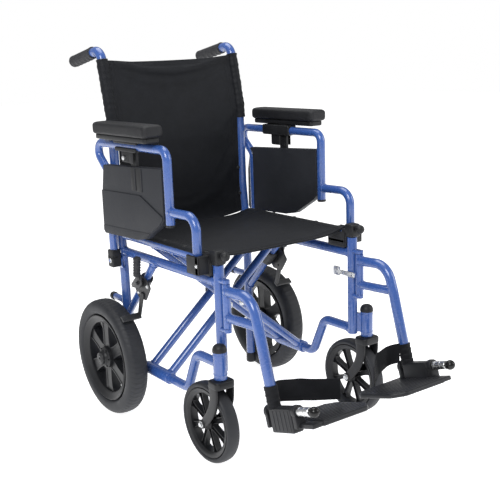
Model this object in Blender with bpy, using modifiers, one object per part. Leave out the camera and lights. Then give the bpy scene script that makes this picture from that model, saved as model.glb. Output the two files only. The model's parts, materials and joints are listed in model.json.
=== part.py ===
"""Folding attendant-pushed wheelchair, built as separate sub-parts.

Metres, +Z up. The chair faces -Y, its right-hand side is -X. Everything hangs from one
empty above the rear axle, so Y below is measured from the rear axle, positive backwards.
"""
import math

import bmesh
import bpy
from mathutils import Matrix, Vector

# Driving dimensions of the whole chair
AXLE_Y = 0.2876          # rear axle, behind the middle of the chair's length
FRAME_X = 0.207          # middle plane of a side frame
TUBE_R = 0.0125          # main frame tube
RAIL_R = 0.0121          # rails that run into it
GAP = 0.0003             # clearance between pieces that touch
THROUGH = 0.05           # how far a cutter runs on past what it cuts
SIDES = 12               # facets round a tube
HEX = 6                  # facets of a bolt head

# Side frame
UPPER_RAIL_Z = 0.445
LOWER_RAIL_Z = 0.140
FRONT_POST_Y = -0.453
FRONT_POST_TOP = 0.4857
FRONT_POST_FOOT = 0.230
LOWER_RAIL_FRONT_Z = 0.243
RISER_FOOT_Y = -0.297
RISER_TOP_Y = -0.345
BEND_R = 0.030
BRACE_TOP = (-0.170, UPPER_RAIL_Z)
BRACE_FOOT = (0.0, 0.262)
BRACE_R = 0.0100
RAIL_START_Y = -0.004    # where a rail meets the rear upright
RAIL_RUN_ON = 0.004      # how far it runs on past the front post
LUG_Z = ((0.335, 1), (0.451, -1))   # hanger lugs: height, and the way their pin points
LUG_HALF = (0.008, 0.010, 0.0047)
LUG_ROOT = 0.003
LUG_PIN = 0.018
LUG_PIN_R = 0.0038
CANE_BEND_R = 0.02

# Back post, from the tipping end up to the push handle
TIP_Z = 0.028
HANDLE_CORNER = (0.048, 0.972)
HANDLE_END = (0.205, 0.944)
GRIP_R = 0.0165
GRIP_START_Y = 0.088
GRIP_OVERHANG = 0.008
CANE = [(0.0, TIP_Z), (0.0, 0.44), (0.013, 0.58), (0.013, 0.80), HANDLE_CORNER, HANDLE_END]
STUB_END_Y = 0.078
STUB_R = 0.0095
BRACKET_FACE = 0.2238    # bracket that carries the armrest's pivot pin
BRACKET_HALF = 0.016
BRACKET_Z = (-0.030, 0.006)
ARM_PIN_END = 0.2520
PIN_R = 0.0040
STUB_Z = 0.304

# Rear wheel
REAR_R = 0.159
REAR_X = 0.2655
REAR_TYRE_W = 0.058
REAR_BEAD_R = 0.115
REAR_SPOKES = 6
REAR_RIM_R = 0.098
REAR_RIM_HALF = 0.021
REAR_HUB_R = 0.030
REAR_HUB_HALF = 0.0300
REAR_SPOKE = (0.013, 0.014)   # half width round the wheel, half depth
REAR_STEPS = 36
AXLE_R = 0.0060
AXLE_INNER_X = 0.1905
AXLE_NUT_X = (0.1860, 0.1940)
AXLE_NUT_R = 0.0100
AXLE_HEAD = (0.0305, 0.0370)  # from the wheel's middle plane
AXLE_HEAD_R = 0.0110
SPACER_R = 0.0100
SPACER_CLEAR = 0.0128

# Caster
CASTER_R = 0.100
CASTER_X = 0.232
CASTER_Y = -0.428
CASTER_TYRE_W = 0.034
CASTER_BEAD_R = 0.084
CASTER_SPOKES = 8
STEM_Y = -0.479
HOUSING_R = 0.0160
HOUSING_FOOT = 0.2235
HOUSING_TOP = 0.2960
STEM_R = 0.0070
STEM_Z = (0.212, 0.286)
STEM_BORE_TOP = 0.288
CAP_R = 0.0150
WEB_Y = (0.004, 0.008)        # web between housing and front post, in from each
WEB_Z = (0.2335, 0.2860)
CROWN_HALF = 0.0275
CROWN_Y = (-0.024, 0.034)     # from the stem
CROWN_Z = (0.2040, 0.2225)
CROWN_BEVEL = 0.003
LEG_X = (0.0205, 0.0255)      # from the caster's middle plane
LEG_OUTLINE = [(STEM_Y - 0.020, 0.215), (STEM_Y + 0.030, 0.215), (CASTER_Y + 0.014, 0.106),
               (CASTER_Y + 0.012, 0.091), (CASTER_Y, 0.085), (CASTER_Y - 0.012, 0.091),
               (STEM_Y - 0.012, 0.165)]
CASTER_AXLE_HALF = 0.0300
CASTER_AXLE_R = 0.0050
CASTER_RIM_R = 0.072
CASTER_RIM_HALF = 0.012
CASTER_HUB_R = 0.017
CASTER_HUB_HALF = 0.0195
CASTER_SPOKE = (0.0045, 0.008)
CASTER_STEPS = 28
TYRE_STEPS = 8
TYRE_FULLNESS = 1.08          # squares off a tyre's section
HUB_SIDES = 16
SPOKE_ROOT = 0.6              # spokes start inside the hub, at this share of its radius

# Cross brace and seat
SEAT_RAIL_Z = 0.492
CROSS_R = 0.0110
ARM_A_Y = (-0.110, -0.198)
ARM_B_Y = (-0.154, -0.242)
SEAT_RAIL_BACK = -0.022
SEAT_RAIL_FRONT = -0.425
SLEEVE_R = 0.0165
SLEEVE_OVERHANG = 0.014
BOLT_Y = (-0.262, -0.090)
BOLT_R = 0.0050
BOLT_HEAD = 0.006
BOLT_HEAD_R = 0.0090

# Slings
SEAT_Z = (0.5050, 0.5110)
SEAT_WRAP = 0.012             # beyond the middle of each rail
SEAT_BACK_Y = -0.020
TONGUE_X = 0.1890
TONGUE_Y = (-0.040, 0.002)
BACK_CLEAR = 0.0132
BACK_T = 0.006
BACK_ROWS = ((0.5125, 0.006), (0.58, 0.013), (0.80, 0.013), (0.943, 0.043))   # height, depth

# Armrest
ARM_X = 0.237
ARM_R = 0.0110
ARM_PIVOT = (-0.005, 0.425)
ARM_TOP_Z = 0.737
ARM_FRONT_Y = -0.304
ARM_BRANCH_Y = -0.4145
ARM_BRANCH_FOOT = 0.466
KNOB_Y = -0.4815
KNOB_Z = 0.509
PAD_X = 0.2535
PAD_W = 0.056
PAD_FRONT = -0.280
PAD_BACK = -0.013
PAD_Z = (0.765, 0.796)
PANEL_X = (0.2290, 0.2515)
STEM_SLIDE_Y = -0.150
ARM_BEND_Z = 0.6636
ARM_TOP_BACK_Y = 0.077
ARM_LEG_FOOT_Z = 0.557
ARM_LEG_START = 0.0110        # above the pivot
ARM_BEND_R = 0.020
BRANCH_ROOT = (0.004, 0.592)  # in from the front leg, and its height
BRANCH_TOP_Z = 0.594
BRANCH_BEND_R = 0.030
SOCKET_X = (0.2242, 0.2505)
SOCKET_HALF = 0.0145
SOCKET_Z = (-0.018, 0.030)
SOCKET_BEVEL = 0.003
LEG_BORE = (0.0107, 0.05)
PANEL_OUTLINE = [(-0.001, 0.6815), (-0.142, 0.6875), (-0.292, 0.6945), (-0.292, 0.5715), (-0.277, 0.5575),
                 (-0.200, 0.5125), (-0.158, 0.5045), (0.008, 0.4985), (0.016, 0.5075), (0.013, 0.6175)]
HEIGHT_STEM = (0.0040, 0.0150)      # half thickness, half width
HEIGHT_STEM_Z = (0.625, 0.757)
CLASP_LOW = (0.2225, -0.186, 0.7225)
CLASP_HIGH = (0.2515, -0.070, 0.7520)
CLASP_BEVEL = 0.002
GUIDE_LOW = (0.2275, -0.140, 0.6960)
GUIDE_HIGH = (0.2465, -0.105, 0.7260)
BUTTON_PLACE = (-0.119, 0.708)
BUTTON_X = (0.2445, 0.2535)
BUTTON_SEAT_X = 0.2400
BUTTON_R = 0.0060
TRAY_HALF = 0.021
TRAY_INSET = (0.012, 0.006)
TRAY_FOOT = 0.7525
TRAY_BEVEL = 0.002
PAD_BEVEL = 0.010

# Brake
CLAMP_RECEIVER = ((0.2180, -0.440, 0.4640), (0.2540, -0.390, 0.5080))
CLAMP_CAP_X = (0.1935, 0.2225)
CLAMP_CAP_Y = (-0.468, -0.438)
CLAMP_CAP_TOP = 0.5210
CLAMP_SADDLE_X = (0.1900, 0.2250)
CLAMP_SADDLE_Y = (-0.442, -0.378)
CLAMP_SADDLE_TOP = 0.4990
RECEIVER_BEVEL = 0.003
GROOVE_FRONT = -0.4275        # just ahead of the seat rail's end
KNOB_R = 0.0115
KNOB_SCREW_END = -0.4550

BRAKE_X = 0.241
BRAKE_PLATE = [(-0.166, 0.374), (-0.152, 0.392), (-0.128, 0.402), (-0.098, 0.384), (-0.086, 0.362),
               (-0.104, 0.340), (-0.140, 0.338)]
BRAKE_PLATE_X = (0.2225, 0.2265)
BRAKE_COLLAR = (0.070, 0.114)     # along the slanted tube from its top
BRAKE_COLLAR_R = 0.0170
LEVER_PIN_X = 0.2440
SHOE_PIN_X = 0.2322
LEVER_PLATE = [(-0.142, 0.382), (-0.137, 0.410), (-0.125, 0.410), (-0.086, 0.374), (-0.090, 0.366),
               (-0.124, 0.369)]
LEVER_PLATE_X = (0.2330, 0.2365)
LEVER_ARM_FOOT = (0.2375, -0.130, 0.394)
LEVER_ARM_TOP = (0.2420, -0.133, 0.429)
LEVER_ARM_R = 0.0060
LEVER_GRIP_FOOT = (0.2420, -0.130, 0.405)
LEVER_GRIP_TOP = (0.2420, -0.138, 0.455)
LEVER_GRIP_R = 0.0105
FACETS = 8                        # round small bars
SHOE_LINK_X = (0.2272, 0.2315)
SHOE_LINK_R = 0.0095
SHOE_LINK_HALF = 0.0060
SHOE_FOOT_X = (0.2265, 0.2820)
SHOE_FOOT_HALF = (0.010, 0.0035)
SHOE_BEVEL = 0.0015
BRAKE_PIVOT = (-0.124, 0.384)
SHOE_PIVOT = (-0.128, 0.352)
SHOE_PLACE = (-0.1068, 0.2909)   # middle of the pad, just off the tyre
SHOE_TILT = math.radians(39.0)

# Footrest: hanger, telescopic tube and flip-up plate
HANGER_HINGE_Y = -0.4805
HANGER_R = 0.0110
HANGER_END = (-0.6405, 0.222)
HANGER_KNEE = (-0.597, 0.372)
FOOT_TILT = math.radians(17.0)
FOOT_HINGE = (-0.700, 0.208)
PLATE_INNER_X = 0.034
LATCH_PIVOT = (-0.470, 0.392)
STRAP_W = 0.045
STRAP_T = 0.003
HANGER_START_Z = 0.428
HANGER_SHOULDER = (-0.575, 0.4335)
HANGER_BEND_R = 0.035
BARREL_Z = (0.3400, 0.4460)
BARREL_R = 0.0095
STRUT_Z = 0.366
STRUT_R = 0.0110
HINGE_BORES = ((0.330, 1), (0.456, -1))    # where a bore starts, and the way it goes
HINGE_BORE_DEEP = 0.030
HINGE_BORE_R = 0.0041
LENGTH_TUBE_R = 0.0095
LENGTH_BORE = 0.125
LENGTH_TUBE_SPAN = (0.110, 0.030)          # up inside the hanger, and down out of it
LATCH_PIN = 0.0190
LATCH_PIN_R = 0.0030
LATCH_AXIS = 0.0155
LATCH_LEVER = ((0.0180, 0.0135), (-0.008, 0.050), (-0.007, 0.007))
LATCH_TAB = ((0.0225, 0.0135), (0.044, 0.066), (-0.009, 0.015))
BLOCK_SPAN = ((-0.0140, 0.0140), (-0.060, 0.018), (-0.045, 0.009))
BLOCK_BEVEL = 0.003
FOOT_PIN_R = 0.0060
FOOT_PIN_SPAN = (-0.084, 0.082)
COLLAR_SPAN = (0.0320, 0.0720)
COLLAR_R = 0.0105
PIN_BALL_PLACE = 0.0826
PIN_BALL_R = 0.0120
PLATE_Z = (-0.0360, -0.0240)
PLATE_SPAN = (-0.080, 0.078)
PLATE_OUTER = 0.0220
PLATE_EARS = ((-0.0780, -0.0690, -0.0690), (0.0190, 0.0310, 0.075))
EAR_R = 0.0150
EAR_HALF = 0.0130
EAR_FOOT = -0.0350
EAR_WEB = (0.0060, 0.0300)
LOOP_START = (0.018, 0.020)                # strap round the tube: out from it, and in from it
LOOP_BACK = ((-0.632, 0.203), (-0.630, 0.203))
LOOP_ROUTE = ((0.120, -0.650, 0.196), (0.040, -0.692, 0.190))
LOOP_BEND = 0.02
LOOP_STEPS = 3
LOOP_TUBE_CLEAR = 0.0006

for old in list(bpy.data.objects):
    bpy.data.objects.remove(old, do_unlink=True)

PARTS = bpy.data.collections.new("folding_wheelchair")
TOOLS = bpy.data.collections.new("cutters_and_joiners")
bpy.context.scene.collection.children.link(PARTS)
bpy.context.scene.collection.children.link(TOOLS)


# ---------------------------------------------------------------- helpers
def empty(name, place, parent=None):
    """An empty at a pivot, in the chair's own coordinates."""
    pivot = bpy.data.objects.new(name, None)
    pivot.empty_display_size = 0.03
    pivot.location = place
    pivot.parent = parent
    PARTS.objects.link(pivot)
    return pivot


CHAIR = empty("chair_over_rear_axle", (0.0, AXLE_Y, 0.0))


def from_bmesh(bm, place=(0, 0, 0), turn=None):
    mesh = bpy.data.meshes.new("shape")
    bm.to_mesh(mesh)
    bm.free()
    body = bpy.data.objects.new("shape", mesh)
    body.location = place
    if turn is not None:
        body.rotation_mode = "QUATERNION"
        body.rotation_quaternion = turn
    TOOLS.objects.link(body)
    return body


def rod(start, end, radius, sides=SIDES, end_radius=None):
    """A round bar between two points."""
    start, end = Vector(start), Vector(end)
    bm = bmesh.new()
    bmesh.ops.create_cone(bm, cap_ends=True, segments=sides, radius1=radius,
                          radius2=radius if end_radius is None else end_radius,
                          depth=(end - start).length)
    return from_bmesh(bm, (start + end) / 2, (end - start).to_track_quat("Z", "Y"))


def ball(place, radius, around=10, up=6):
    bm = bmesh.new()
    bmesh.ops.create_uvsphere(bm, u_segments=around, v_segments=up, radius=radius)
    return from_bmesh(bm, place)


def box(low, high, tilt=0.0, bevel=0.0):
    """A block between two corners, turned about X through its middle."""
    low, high = Vector(low), Vector(high)
    size = high - low
    bm = bmesh.new()
    bmesh.ops.create_cube(bm, size=1.0)
    bmesh.ops.scale(bm, vec=[abs(v) for v in size], verts=bm.verts)
    body = from_bmesh(bm, (low + high) / 2, Matrix.Rotation(tilt, 3, "X").to_quaternion())
    if bevel:
        edge = body.modifiers.new("rounded edges", "BEVEL")
        edge.width = bevel
        edge.segments = 1
    return body


def as_mesh(curve_object):
    """A curve turned into a closed mesh, which Boolean modifiers can use."""
    bpy.context.view_layer.update()
    graph = bpy.context.evaluated_depsgraph_get()
    mesh = bpy.data.meshes.new_from_object(curve_object.evaluated_get(graph))
    bm = bmesh.new()
    bm.from_mesh(mesh)
    bmesh.ops.remove_doubles(bm, verts=bm.verts, dist=1e-6)
    bm.to_mesh(mesh)
    bm.free()
    body = bpy.data.objects.new("shape", mesh)
    body.matrix_world = curve_object.matrix_world
    TOOLS.objects.link(body)
    bpy.data.objects.remove(curve_object, do_unlink=True)
    return body


def rounded(points, radius, steps=4):
    """A polyline with each inner corner replaced by an arc of the given radius."""
    points = [Vector(p) for p in points]
    path = [points[0]]
    for before, corner, after in zip(points, points[1:], points[2:]):
        back, on = (before - corner).normalized(), (after - corner).normalized()
        half = back.angle(on) / 2
        reach = radius / math.tan(half)
        centre = corner + (back + on).normalized() * (radius / math.sin(half))
        first = (corner + back * reach - centre).normalized()
        last = (corner + on * reach - centre).normalized()
        for i in range(steps + 1):
            path.append(centre + first.slerp(last, i / steps) * radius)
    path.append(points[-1])
    return path


def tube(points, radius, bend=0.0, resolution=1, steps=4):
    """A round bar bent along a path."""
    path = rounded(points, bend, steps) if bend else [Vector(p) for p in points]
    curve = bpy.data.curves.new("path", "CURVE")
    curve.dimensions = "3D"
    curve.bevel_depth = radius
    curve.bevel_resolution = resolution
    curve.use_fill_caps = True
    spline = curve.splines.new("POLY")
    spline.points.add(len(path) - 1)
    for point, place in zip(spline.points, path):
        point.co = (*place, 1.0)
    body = bpy.data.objects.new("path", curve)
    TOOLS.objects.link(body)
    return as_mesh(body)


def side_plate(outline, x_low, x_high):
    """A flat plate across X, from its outline in Y and Z."""
    curve = bpy.data.curves.new("outline", "CURVE")
    curve.dimensions = "2D"
    curve.fill_mode = "BOTH"
    curve.extrude = abs(x_high - x_low) / 2
    spline = curve.splines.new("POLY")
    spline.points.add(len(outline) - 1)
    for point, (y, z) in zip(spline.points, outline):
        point.co = (y, z, 0.0, 1.0)
    spline.use_cyclic_u = True
    body = bpy.data.objects.new("outline", curve)
    turn = Matrix(((0, 0, 1), (1, 0, 0), (0, 1, 0))).to_4x4()
    body.matrix_world = Matrix.Translation(((x_low + x_high) / 2, 0, 0)) @ turn
    TOOLS.objects.link(body)
    return as_mesh(body)


def turned(profile, place, steps):
    """A closed profile of (radius, offset along X) turned about the X axis through place."""
    bm = bmesh.new()
    corners = [bm.verts.new((r, 0.0, x)) for r, x in profile]
    for one, two in zip(corners, corners[1:] + corners[:1]):
        bm.edges.new((one, two))
    body = from_bmesh(bm, place, Matrix.Rotation(math.radians(90), 3, "Y").to_quaternion())
    screw = body.modifiers.new("turn", "SCREW")
    screw.axis = "Z"
    screw.steps = screw.render_steps = steps
    screw.use_merge_vertices = True
    screw.merge_threshold = 0.00001
    screw.use_normal_calculate = True
    return body


def modify(base, others, operation):
    for other in others:
        step = base.modifiers.new(operation.lower(), "BOOLEAN")
        step.operation = operation
        step.solver = "EXACT"
        step.object = other
        other.hide_render = True
        other.display_type = "WIRE"
        other.parent = CHAIR
    return base


def join(base, *others):
    return modify(base, others, "UNION")


def cut(base, *others):
    return modify(base, others, "DIFFERENCE")


def material(name, colour, roughness, metallic=0.0):
    look = bpy.data.materials.new(name)
    look.use_nodes = True
    shader = look.node_tree.nodes["Principled BSDF"]
    shader.inputs["Base Color"].default_value = (*colour, 1.0)
    shader.inputs["Roughness"].default_value = roughness
    shader.inputs["Metallic"].default_value = metallic
    return look


FRAME_BLUE = (0.055, 0.135, 0.470)
BLACK = (0.012, 0.013, 0.016)
FABRIC = (0.008, 0.010, 0.016)
RUBBER = (0.045, 0.048, 0.055)
GREY = (0.050, 0.055, 0.066)
STEEL = (0.55, 0.56, 0.58)
FINISH = {"blue": (FRAME_BLUE, 0.32, 0.0), "black": (BLACK, 0.45, 0.0),
          "fabric": (FABRIC, 0.85, 0.0), "rubber": (RUBBER, 0.7, 0.0),
          "grey": (GREY, 0.55, 0.0), "steel": (STEEL, 0.3, 1.0)}


def node(name, body, finish, pivot=None):
    """Name a finished piece, give it its own material and hang it from its pivot."""
    body.name = name
    body.data.name = name
    TOOLS.objects.unlink(body)
    PARTS.objects.link(body)
    body.data.materials.clear()
    body.data.materials.append(material(name, *FINISH[finish]))
    body.data.shade_smooth()
    body.data.set_sharp_from_angle(angle=math.radians(40))
    body.parent = pivot or CHAIR
    if pivot is not None:
        body.location = body.location - pivot.location
    return body


# ---------------------------------------------------------------- side frames
def back_post_path(s):
    return [(s * FRAME_X, y, z) for y, z in CANE]


def build_back_post(s, tag):
    """Rear upright, cane and push handle in one bent tube, with its stub and arm bracket."""
    x = s * FRAME_X
    post = tube(back_post_path(s), TUBE_R, BEND_R)
    stub = rod((x, 0.0, STUB_Z), (x, STUB_END_Y, STUB_Z), STUB_R)
    py, pz = ARM_PIVOT
    below, above = BRACKET_Z
    bracket = box((x, py - BRACKET_HALF, pz + below), (s * BRACKET_FACE, py + BRACKET_HALF, pz + above))
    pin = rod((x, py, pz), (s * ARM_PIN_END, py, pz), PIN_R)
    axle_hole = rod((x - THROUGH, 0.0, REAR_R), (x + THROUGH, 0.0, REAR_R), AXLE_R + GAP)
    node(f"back_post_{tag}", cut(join(post, stub, bracket, pin), axle_hole), "blue")


def build_side_frame(s, tag):
    """Rails, front post, brake tube and hanger lugs, welded together."""
    x = s * FRAME_X
    post = rod((x, FRONT_POST_Y, FRONT_POST_FOOT), (x, FRONT_POST_Y, FRONT_POST_TOP), TUBE_R)
    front = FRONT_POST_Y - RAIL_RUN_ON
    upper = rod((x, front, UPPER_RAIL_Z), (x, RAIL_START_Y, UPPER_RAIL_Z), RAIL_R)
    corners = [(RAIL_START_Y, LOWER_RAIL_Z), (RISER_FOOT_Y, LOWER_RAIL_Z),
               (RISER_TOP_Y, LOWER_RAIL_FRONT_Z), (front, LOWER_RAIL_FRONT_Z)]
    lower = tube([(x, y, z) for y, z in corners], RAIL_R, BEND_R)
    brace = rod((x, *BRACE_TOP), (x, *BRACE_FOOT), BRACE_R)
    lugs = []
    wide, deep, high = LUG_HALF
    for z, into in LUG_Z:
        lugs.append(box((x - wide, HANGER_HINGE_Y - deep, z - high),
                        (x + wide, FRONT_POST_Y + LUG_ROOT, z + high)))
        lugs.append(rod((x, HANGER_HINGE_Y, z), (x, HANGER_HINGE_Y, z + into * LUG_PIN), LUG_PIN_R))
    clear = tube(back_post_path(s)[:3], TUBE_R + GAP, CANE_BEND_R)
    node(f"side_frame_{tag}", cut(join(post, upper, lower, brace, *lugs), clear), "blue")


def build_caster(s, tag):
    """Housing, swivelling fork with its stem and axle, spoked wheel and tyre."""
    x = s * CASTER_X
    housing = rod((x, STEM_Y, HOUSING_FOOT), (x, STEM_Y, HOUSING_TOP), HOUSING_R)
    dome = ball((x, STEM_Y, HOUSING_TOP), CAP_R)
    web = box((s * FRAME_X, STEM_Y + WEB_Y[0], WEB_Z[0]), (x, FRONT_POST_Y + WEB_Y[1], WEB_Z[1]))
    bore = rod((x, STEM_Y, HOUSING_FOOT - THROUGH), (x, STEM_Y, STEM_BORE_TOP), STEM_R + GAP)
    post = rod((s * FRAME_X, FRONT_POST_Y, FRONT_POST_FOOT - THROUGH),
               (s * FRAME_X, FRONT_POST_Y, HOUSING_TOP + THROUGH), TUBE_R + GAP)
    rail = rod((s * FRAME_X, FRONT_POST_Y - THROUGH, LOWER_RAIL_FRONT_Z),
               (s * FRAME_X, FRONT_POST_Y + THROUGH, LOWER_RAIL_FRONT_Z), RAIL_R + GAP)
    node(f"caster_housing_{tag}", cut(join(housing, dome, web), bore, post, rail), "blue")

    swivel = empty(f"caster_swivel_{tag}", (x, STEM_Y, HOUSING_FOOT), CHAIR)
    stem = rod((x, STEM_Y, STEM_Z[0]), (x, STEM_Y, STEM_Z[1]), STEM_R)
    crown = box((x - CROWN_HALF, STEM_Y + CROWN_Y[0], CROWN_Z[0]),
                (x + CROWN_HALF, STEM_Y + CROWN_Y[1], CROWN_Z[1]), bevel=CROWN_BEVEL)
    legs = [side_plate(LEG_OUTLINE, x + way * LEG_X[0], x + way * LEG_X[1]) for way in (-1, 1)]
    axle = rod((x - CASTER_AXLE_HALF, CASTER_Y, CASTER_R), (x + CASTER_AXLE_HALF, CASTER_Y, CASTER_R),
               CASTER_AXLE_R)
    node(f"caster_fork_{tag}", join(crown, stem, *legs, axle), "black", swivel)

    hub = empty(f"caster_hub_{tag}", (x, CASTER_Y, CASTER_R), CHAIR)
    centre = (x, CASTER_Y, CASTER_R)
    build_spoked_rim(f"caster_rim_{tag}", centre, hub, CASTER_SPOKES, "black",
                     rim=(CASTER_RIM_R, CASTER_BEAD_R - GAP, CASTER_RIM_HALF),
                     hub_size=(CASTER_HUB_R, CASTER_HUB_HALF, CASTER_AXLE_R + GAP),
                     spoke=CASTER_SPOKE, steps=CASTER_STEPS)
    profile = tyre_profile(CASTER_BEAD_R, CASTER_R, CASTER_TYRE_W)
    node(f"caster_tyre_{tag}", turned(profile, centre, CASTER_STEPS), "grey", hub)


def tyre_profile(bead, tread, width):
    """A tyre's section: a flat bead and a rounded back, as (radius, offset) pairs."""
    section = []
    middle = (bead + tread) / 2
    for i in range(TYRE_STEPS):
        turn = math.pi * (2 * i + 1) / TYRE_STEPS
        r = middle + (tread - bead) / 2 * max(-1.0, min(1.0, TYRE_FULLNESS * math.cos(turn)))
        section.append((r, width / 2 * max(-1.0, min(1.0, TYRE_FULLNESS * math.sin(turn)))))
    return section


def build_spoked_rim(name, centre, pivot, spokes, finish, rim, hub_size, spoke, steps):
    """A moulded wheel: rim, hub and spokes in one piece, with an axle bore."""
    x, y, z = centre
    inner, outer, half = rim
    hub_r, hub_half, bore_r = hub_size
    ring = turned([(outer, -half), (outer, half), (inner, half), (inner, -half)], centre, steps)
    hub = rod((x - hub_half, y, z), (x + hub_half, y, z), hub_r, HUB_SIDES)
    arms = []
    for i in range(spokes):
        angle = 2 * math.pi * (i + 0.5) / spokes
        out = Vector((0.0, math.cos(angle), math.sin(angle)))
        bm = bmesh.new()
        bmesh.ops.create_cube(bm, size=1.0)
        length = (inner + outer) / 2 - hub_r * SPOKE_ROOT
        bmesh.ops.scale(bm, vec=(2 * spoke[1], 2 * spoke[0], length), verts=bm.verts)
        middle = Vector(centre) + out * (hub_r * SPOKE_ROOT + length / 2)
        turn = Matrix.Rotation(angle - math.pi / 2, 3, "X").to_quaternion()
        arms.append(from_bmesh(bm, middle, turn))
    bore = rod((x - THROUGH, y, z), (x + THROUGH, y, z), bore_r)
    node(name, cut(join(ring, hub, *arms), bore), finish, pivot)


def build_rear_wheel(s, tag):
    centre = (s * REAR_X, 0.0, REAR_R)
    hub = empty(f"rear_hub_{tag}", centre, CHAIR)
    build_spoked_rim(f"rear_rim_{tag}", centre, hub, REAR_SPOKES, "black",
                     rim=(REAR_RIM_R, REAR_BEAD_R - GAP, REAR_RIM_HALF),
                     hub_size=(REAR_HUB_R, REAR_HUB_HALF, AXLE_R + GAP), spoke=REAR_SPOKE, steps=REAR_STEPS)
    profile = tyre_profile(REAR_BEAD_R, REAR_R, REAR_TYRE_W)
    node(f"rear_tyre_{tag}", turned(profile, centre, REAR_STEPS), "grey", hub)
    x = s * REAR_X
    near, far = (x + s * reach for reach in AXLE_HEAD)
    axle = rod((s * AXLE_INNER_X, 0.0, REAR_R), (far, 0.0, REAR_R), AXLE_R)
    head = rod((near, 0.0, REAR_R), (far, 0.0, REAR_R), AXLE_HEAD_R, HEX)
    nut = rod((s * AXLE_NUT_X[0], 0.0, REAR_R), (s * AXLE_NUT_X[1], 0.0, REAR_R), AXLE_NUT_R, HEX)
    spacer = rod((s * (FRAME_X + SPACER_CLEAR), 0.0, REAR_R),
                 (x - s * (REAR_HUB_HALF + GAP), 0.0, REAR_R), SPACER_R)
    node(f"rear_axle_{tag}", join(axle, head, nut, spacer), "steel")


def build_grip(s, tag):
    x = s * FRAME_X
    start = Vector((x, *HANDLE_CORNER))
    end = Vector((x, *HANDLE_END))
    along = (end - start).normalized()
    front = start + along * ((GRIP_START_Y - HANDLE_CORNER[0]) / along.y)
    grip = rod(front, end + along * GRIP_OVERHANG, GRIP_R)
    bore = rod(front - along * THROUGH, end + along * GAP, TUBE_R + GAP)
    node(f"push_grip_{tag}", cut(grip, bore), "rubber")


# ---------------------------------------------------------------- armrest
def build_armrest(s, tag):
    x = s * ARM_X
    py, pz = ARM_PIVOT
    pivot = empty(f"armrest_pivot_{tag}", (x, py, pz), CHAIR)
    loop = [(x, y, z) for y, z in [(py, pz + ARM_LEG_START), (py, ARM_BEND_Z), (ARM_TOP_BACK_Y, ARM_TOP_Z),
                                   (ARM_FRONT_Y, ARM_TOP_Z), (ARM_FRONT_Y, ARM_LEG_FOOT_Z)]]
    frame = tube(loop, ARM_R, ARM_BEND_R)
    branch = tube([(x, ARM_FRONT_Y + BRANCH_ROOT[0], BRANCH_ROOT[1]), (x, ARM_BRANCH_Y, BRANCH_TOP_Z),
                   (x, ARM_BRANCH_Y, ARM_BRANCH_FOOT)], ARM_R, BRANCH_BEND_R)
    node(f"armrest_frame_{tag}", cut(join(frame, branch), stem_slot(x, ARM_TOP_Z - THROUGH)), "blue", pivot)

    socket = box((s * SOCKET_X[0], py - SOCKET_HALF, pz + SOCKET_Z[0]),
                 (s * SOCKET_X[1], py + SOCKET_HALF, pz + SOCKET_Z[1]), bevel=SOCKET_BEVEL)
    leg_bore = rod((x, py, pz + LEG_BORE[0]), (x, py, pz + LEG_BORE[1]), ARM_R + GAP)
    pin_bore = rod((x - THROUGH, py, pz), (x + THROUGH, py, pz), PIN_R + GAP)
    node(f"arm_socket_{tag}", cut(socket, leg_bore, pin_bore), "black", pivot)

    panel = side_plate(PANEL_OUTLINE, s * PANEL_X[0], s * PANEL_X[1])
    leg_path = tube(loop, ARM_R + GAP, ARM_BEND_R)
    slot = stem_slot(x, HEIGHT_STEM_Z[0] - GAP)
    node(f"side_panel_{tag}", cut(panel, leg_path, slot), "grey", pivot)

    clasp = box(mirrored(CLASP_LOW, s), mirrored(CLASP_HIGH, s), bevel=CLASP_BEVEL)
    guide = box(mirrored(GUIDE_LOW, s), mirrored(GUIDE_HIGH, s))
    bar = rod((x, CLASP_LOW[1] - THROUGH, ARM_TOP_Z), (x, CLASP_HIGH[1] + THROUGH, ARM_TOP_Z), ARM_R + GAP)
    seat = rod((s * BUTTON_SEAT_X, *BUTTON_PLACE), (s * (BUTTON_X[1] + THROUGH), *BUTTON_PLACE), BUTTON_R + GAP)
    opening = stem_slot(x, ARM_TOP_Z - THROUGH)
    node(f"armrest_clasp_{tag}", cut(join(clasp, guide), bar, opening, seat), "black", pivot)
    button = rod((s * BUTTON_X[0], *BUTTON_PLACE), (s * BUTTON_X[1], *BUTTON_PLACE), BUTTON_R)
    push = empty(f"button_axis_{tag}", (s * BUTTON_X[1], *BUTTON_PLACE), CHAIR)
    node(f"armrest_button_{tag}", button, "steel", push)

    thick, wide = HEIGHT_STEM
    stem = box((x - thick, STEM_SLIDE_Y - wide, HEIGHT_STEM_Z[0]),
               (x + thick, STEM_SLIDE_Y + wide, HEIGHT_STEM_Z[1]))
    tray = box((s * (PAD_X - TRAY_HALF), PAD_FRONT + TRAY_INSET[0], TRAY_FOOT),
               (s * (PAD_X + TRAY_HALF), PAD_BACK - TRAY_INSET[1], PAD_Z[0] - GAP), bevel=TRAY_BEVEL)
    node(f"armrest_stem_{tag}", join(tray, stem), "black", pivot)
    half = PAD_W / 2
    pad = box((s * (PAD_X - half), PAD_FRONT, PAD_Z[0]), (s * (PAD_X + half), PAD_BACK, PAD_Z[1]),
              bevel=PAD_BEVEL)
    node(f"armrest_pad_{tag}", pad, "rubber", pivot)


def mirrored(place, s):
    """A place on the given side, from the same place on the left."""
    return (s * place[0], *place[1:])


def stem_slot(x, foot):
    """The opening that lets the height stem through, from a foot upwards."""
    thick, wide = (half + GAP for half in HEIGHT_STEM)
    return box((x - thick, STEM_SLIDE_Y - wide, foot), (x + thick, STEM_SLIDE_Y + wide, ARM_TOP_Z + THROUGH))


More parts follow.
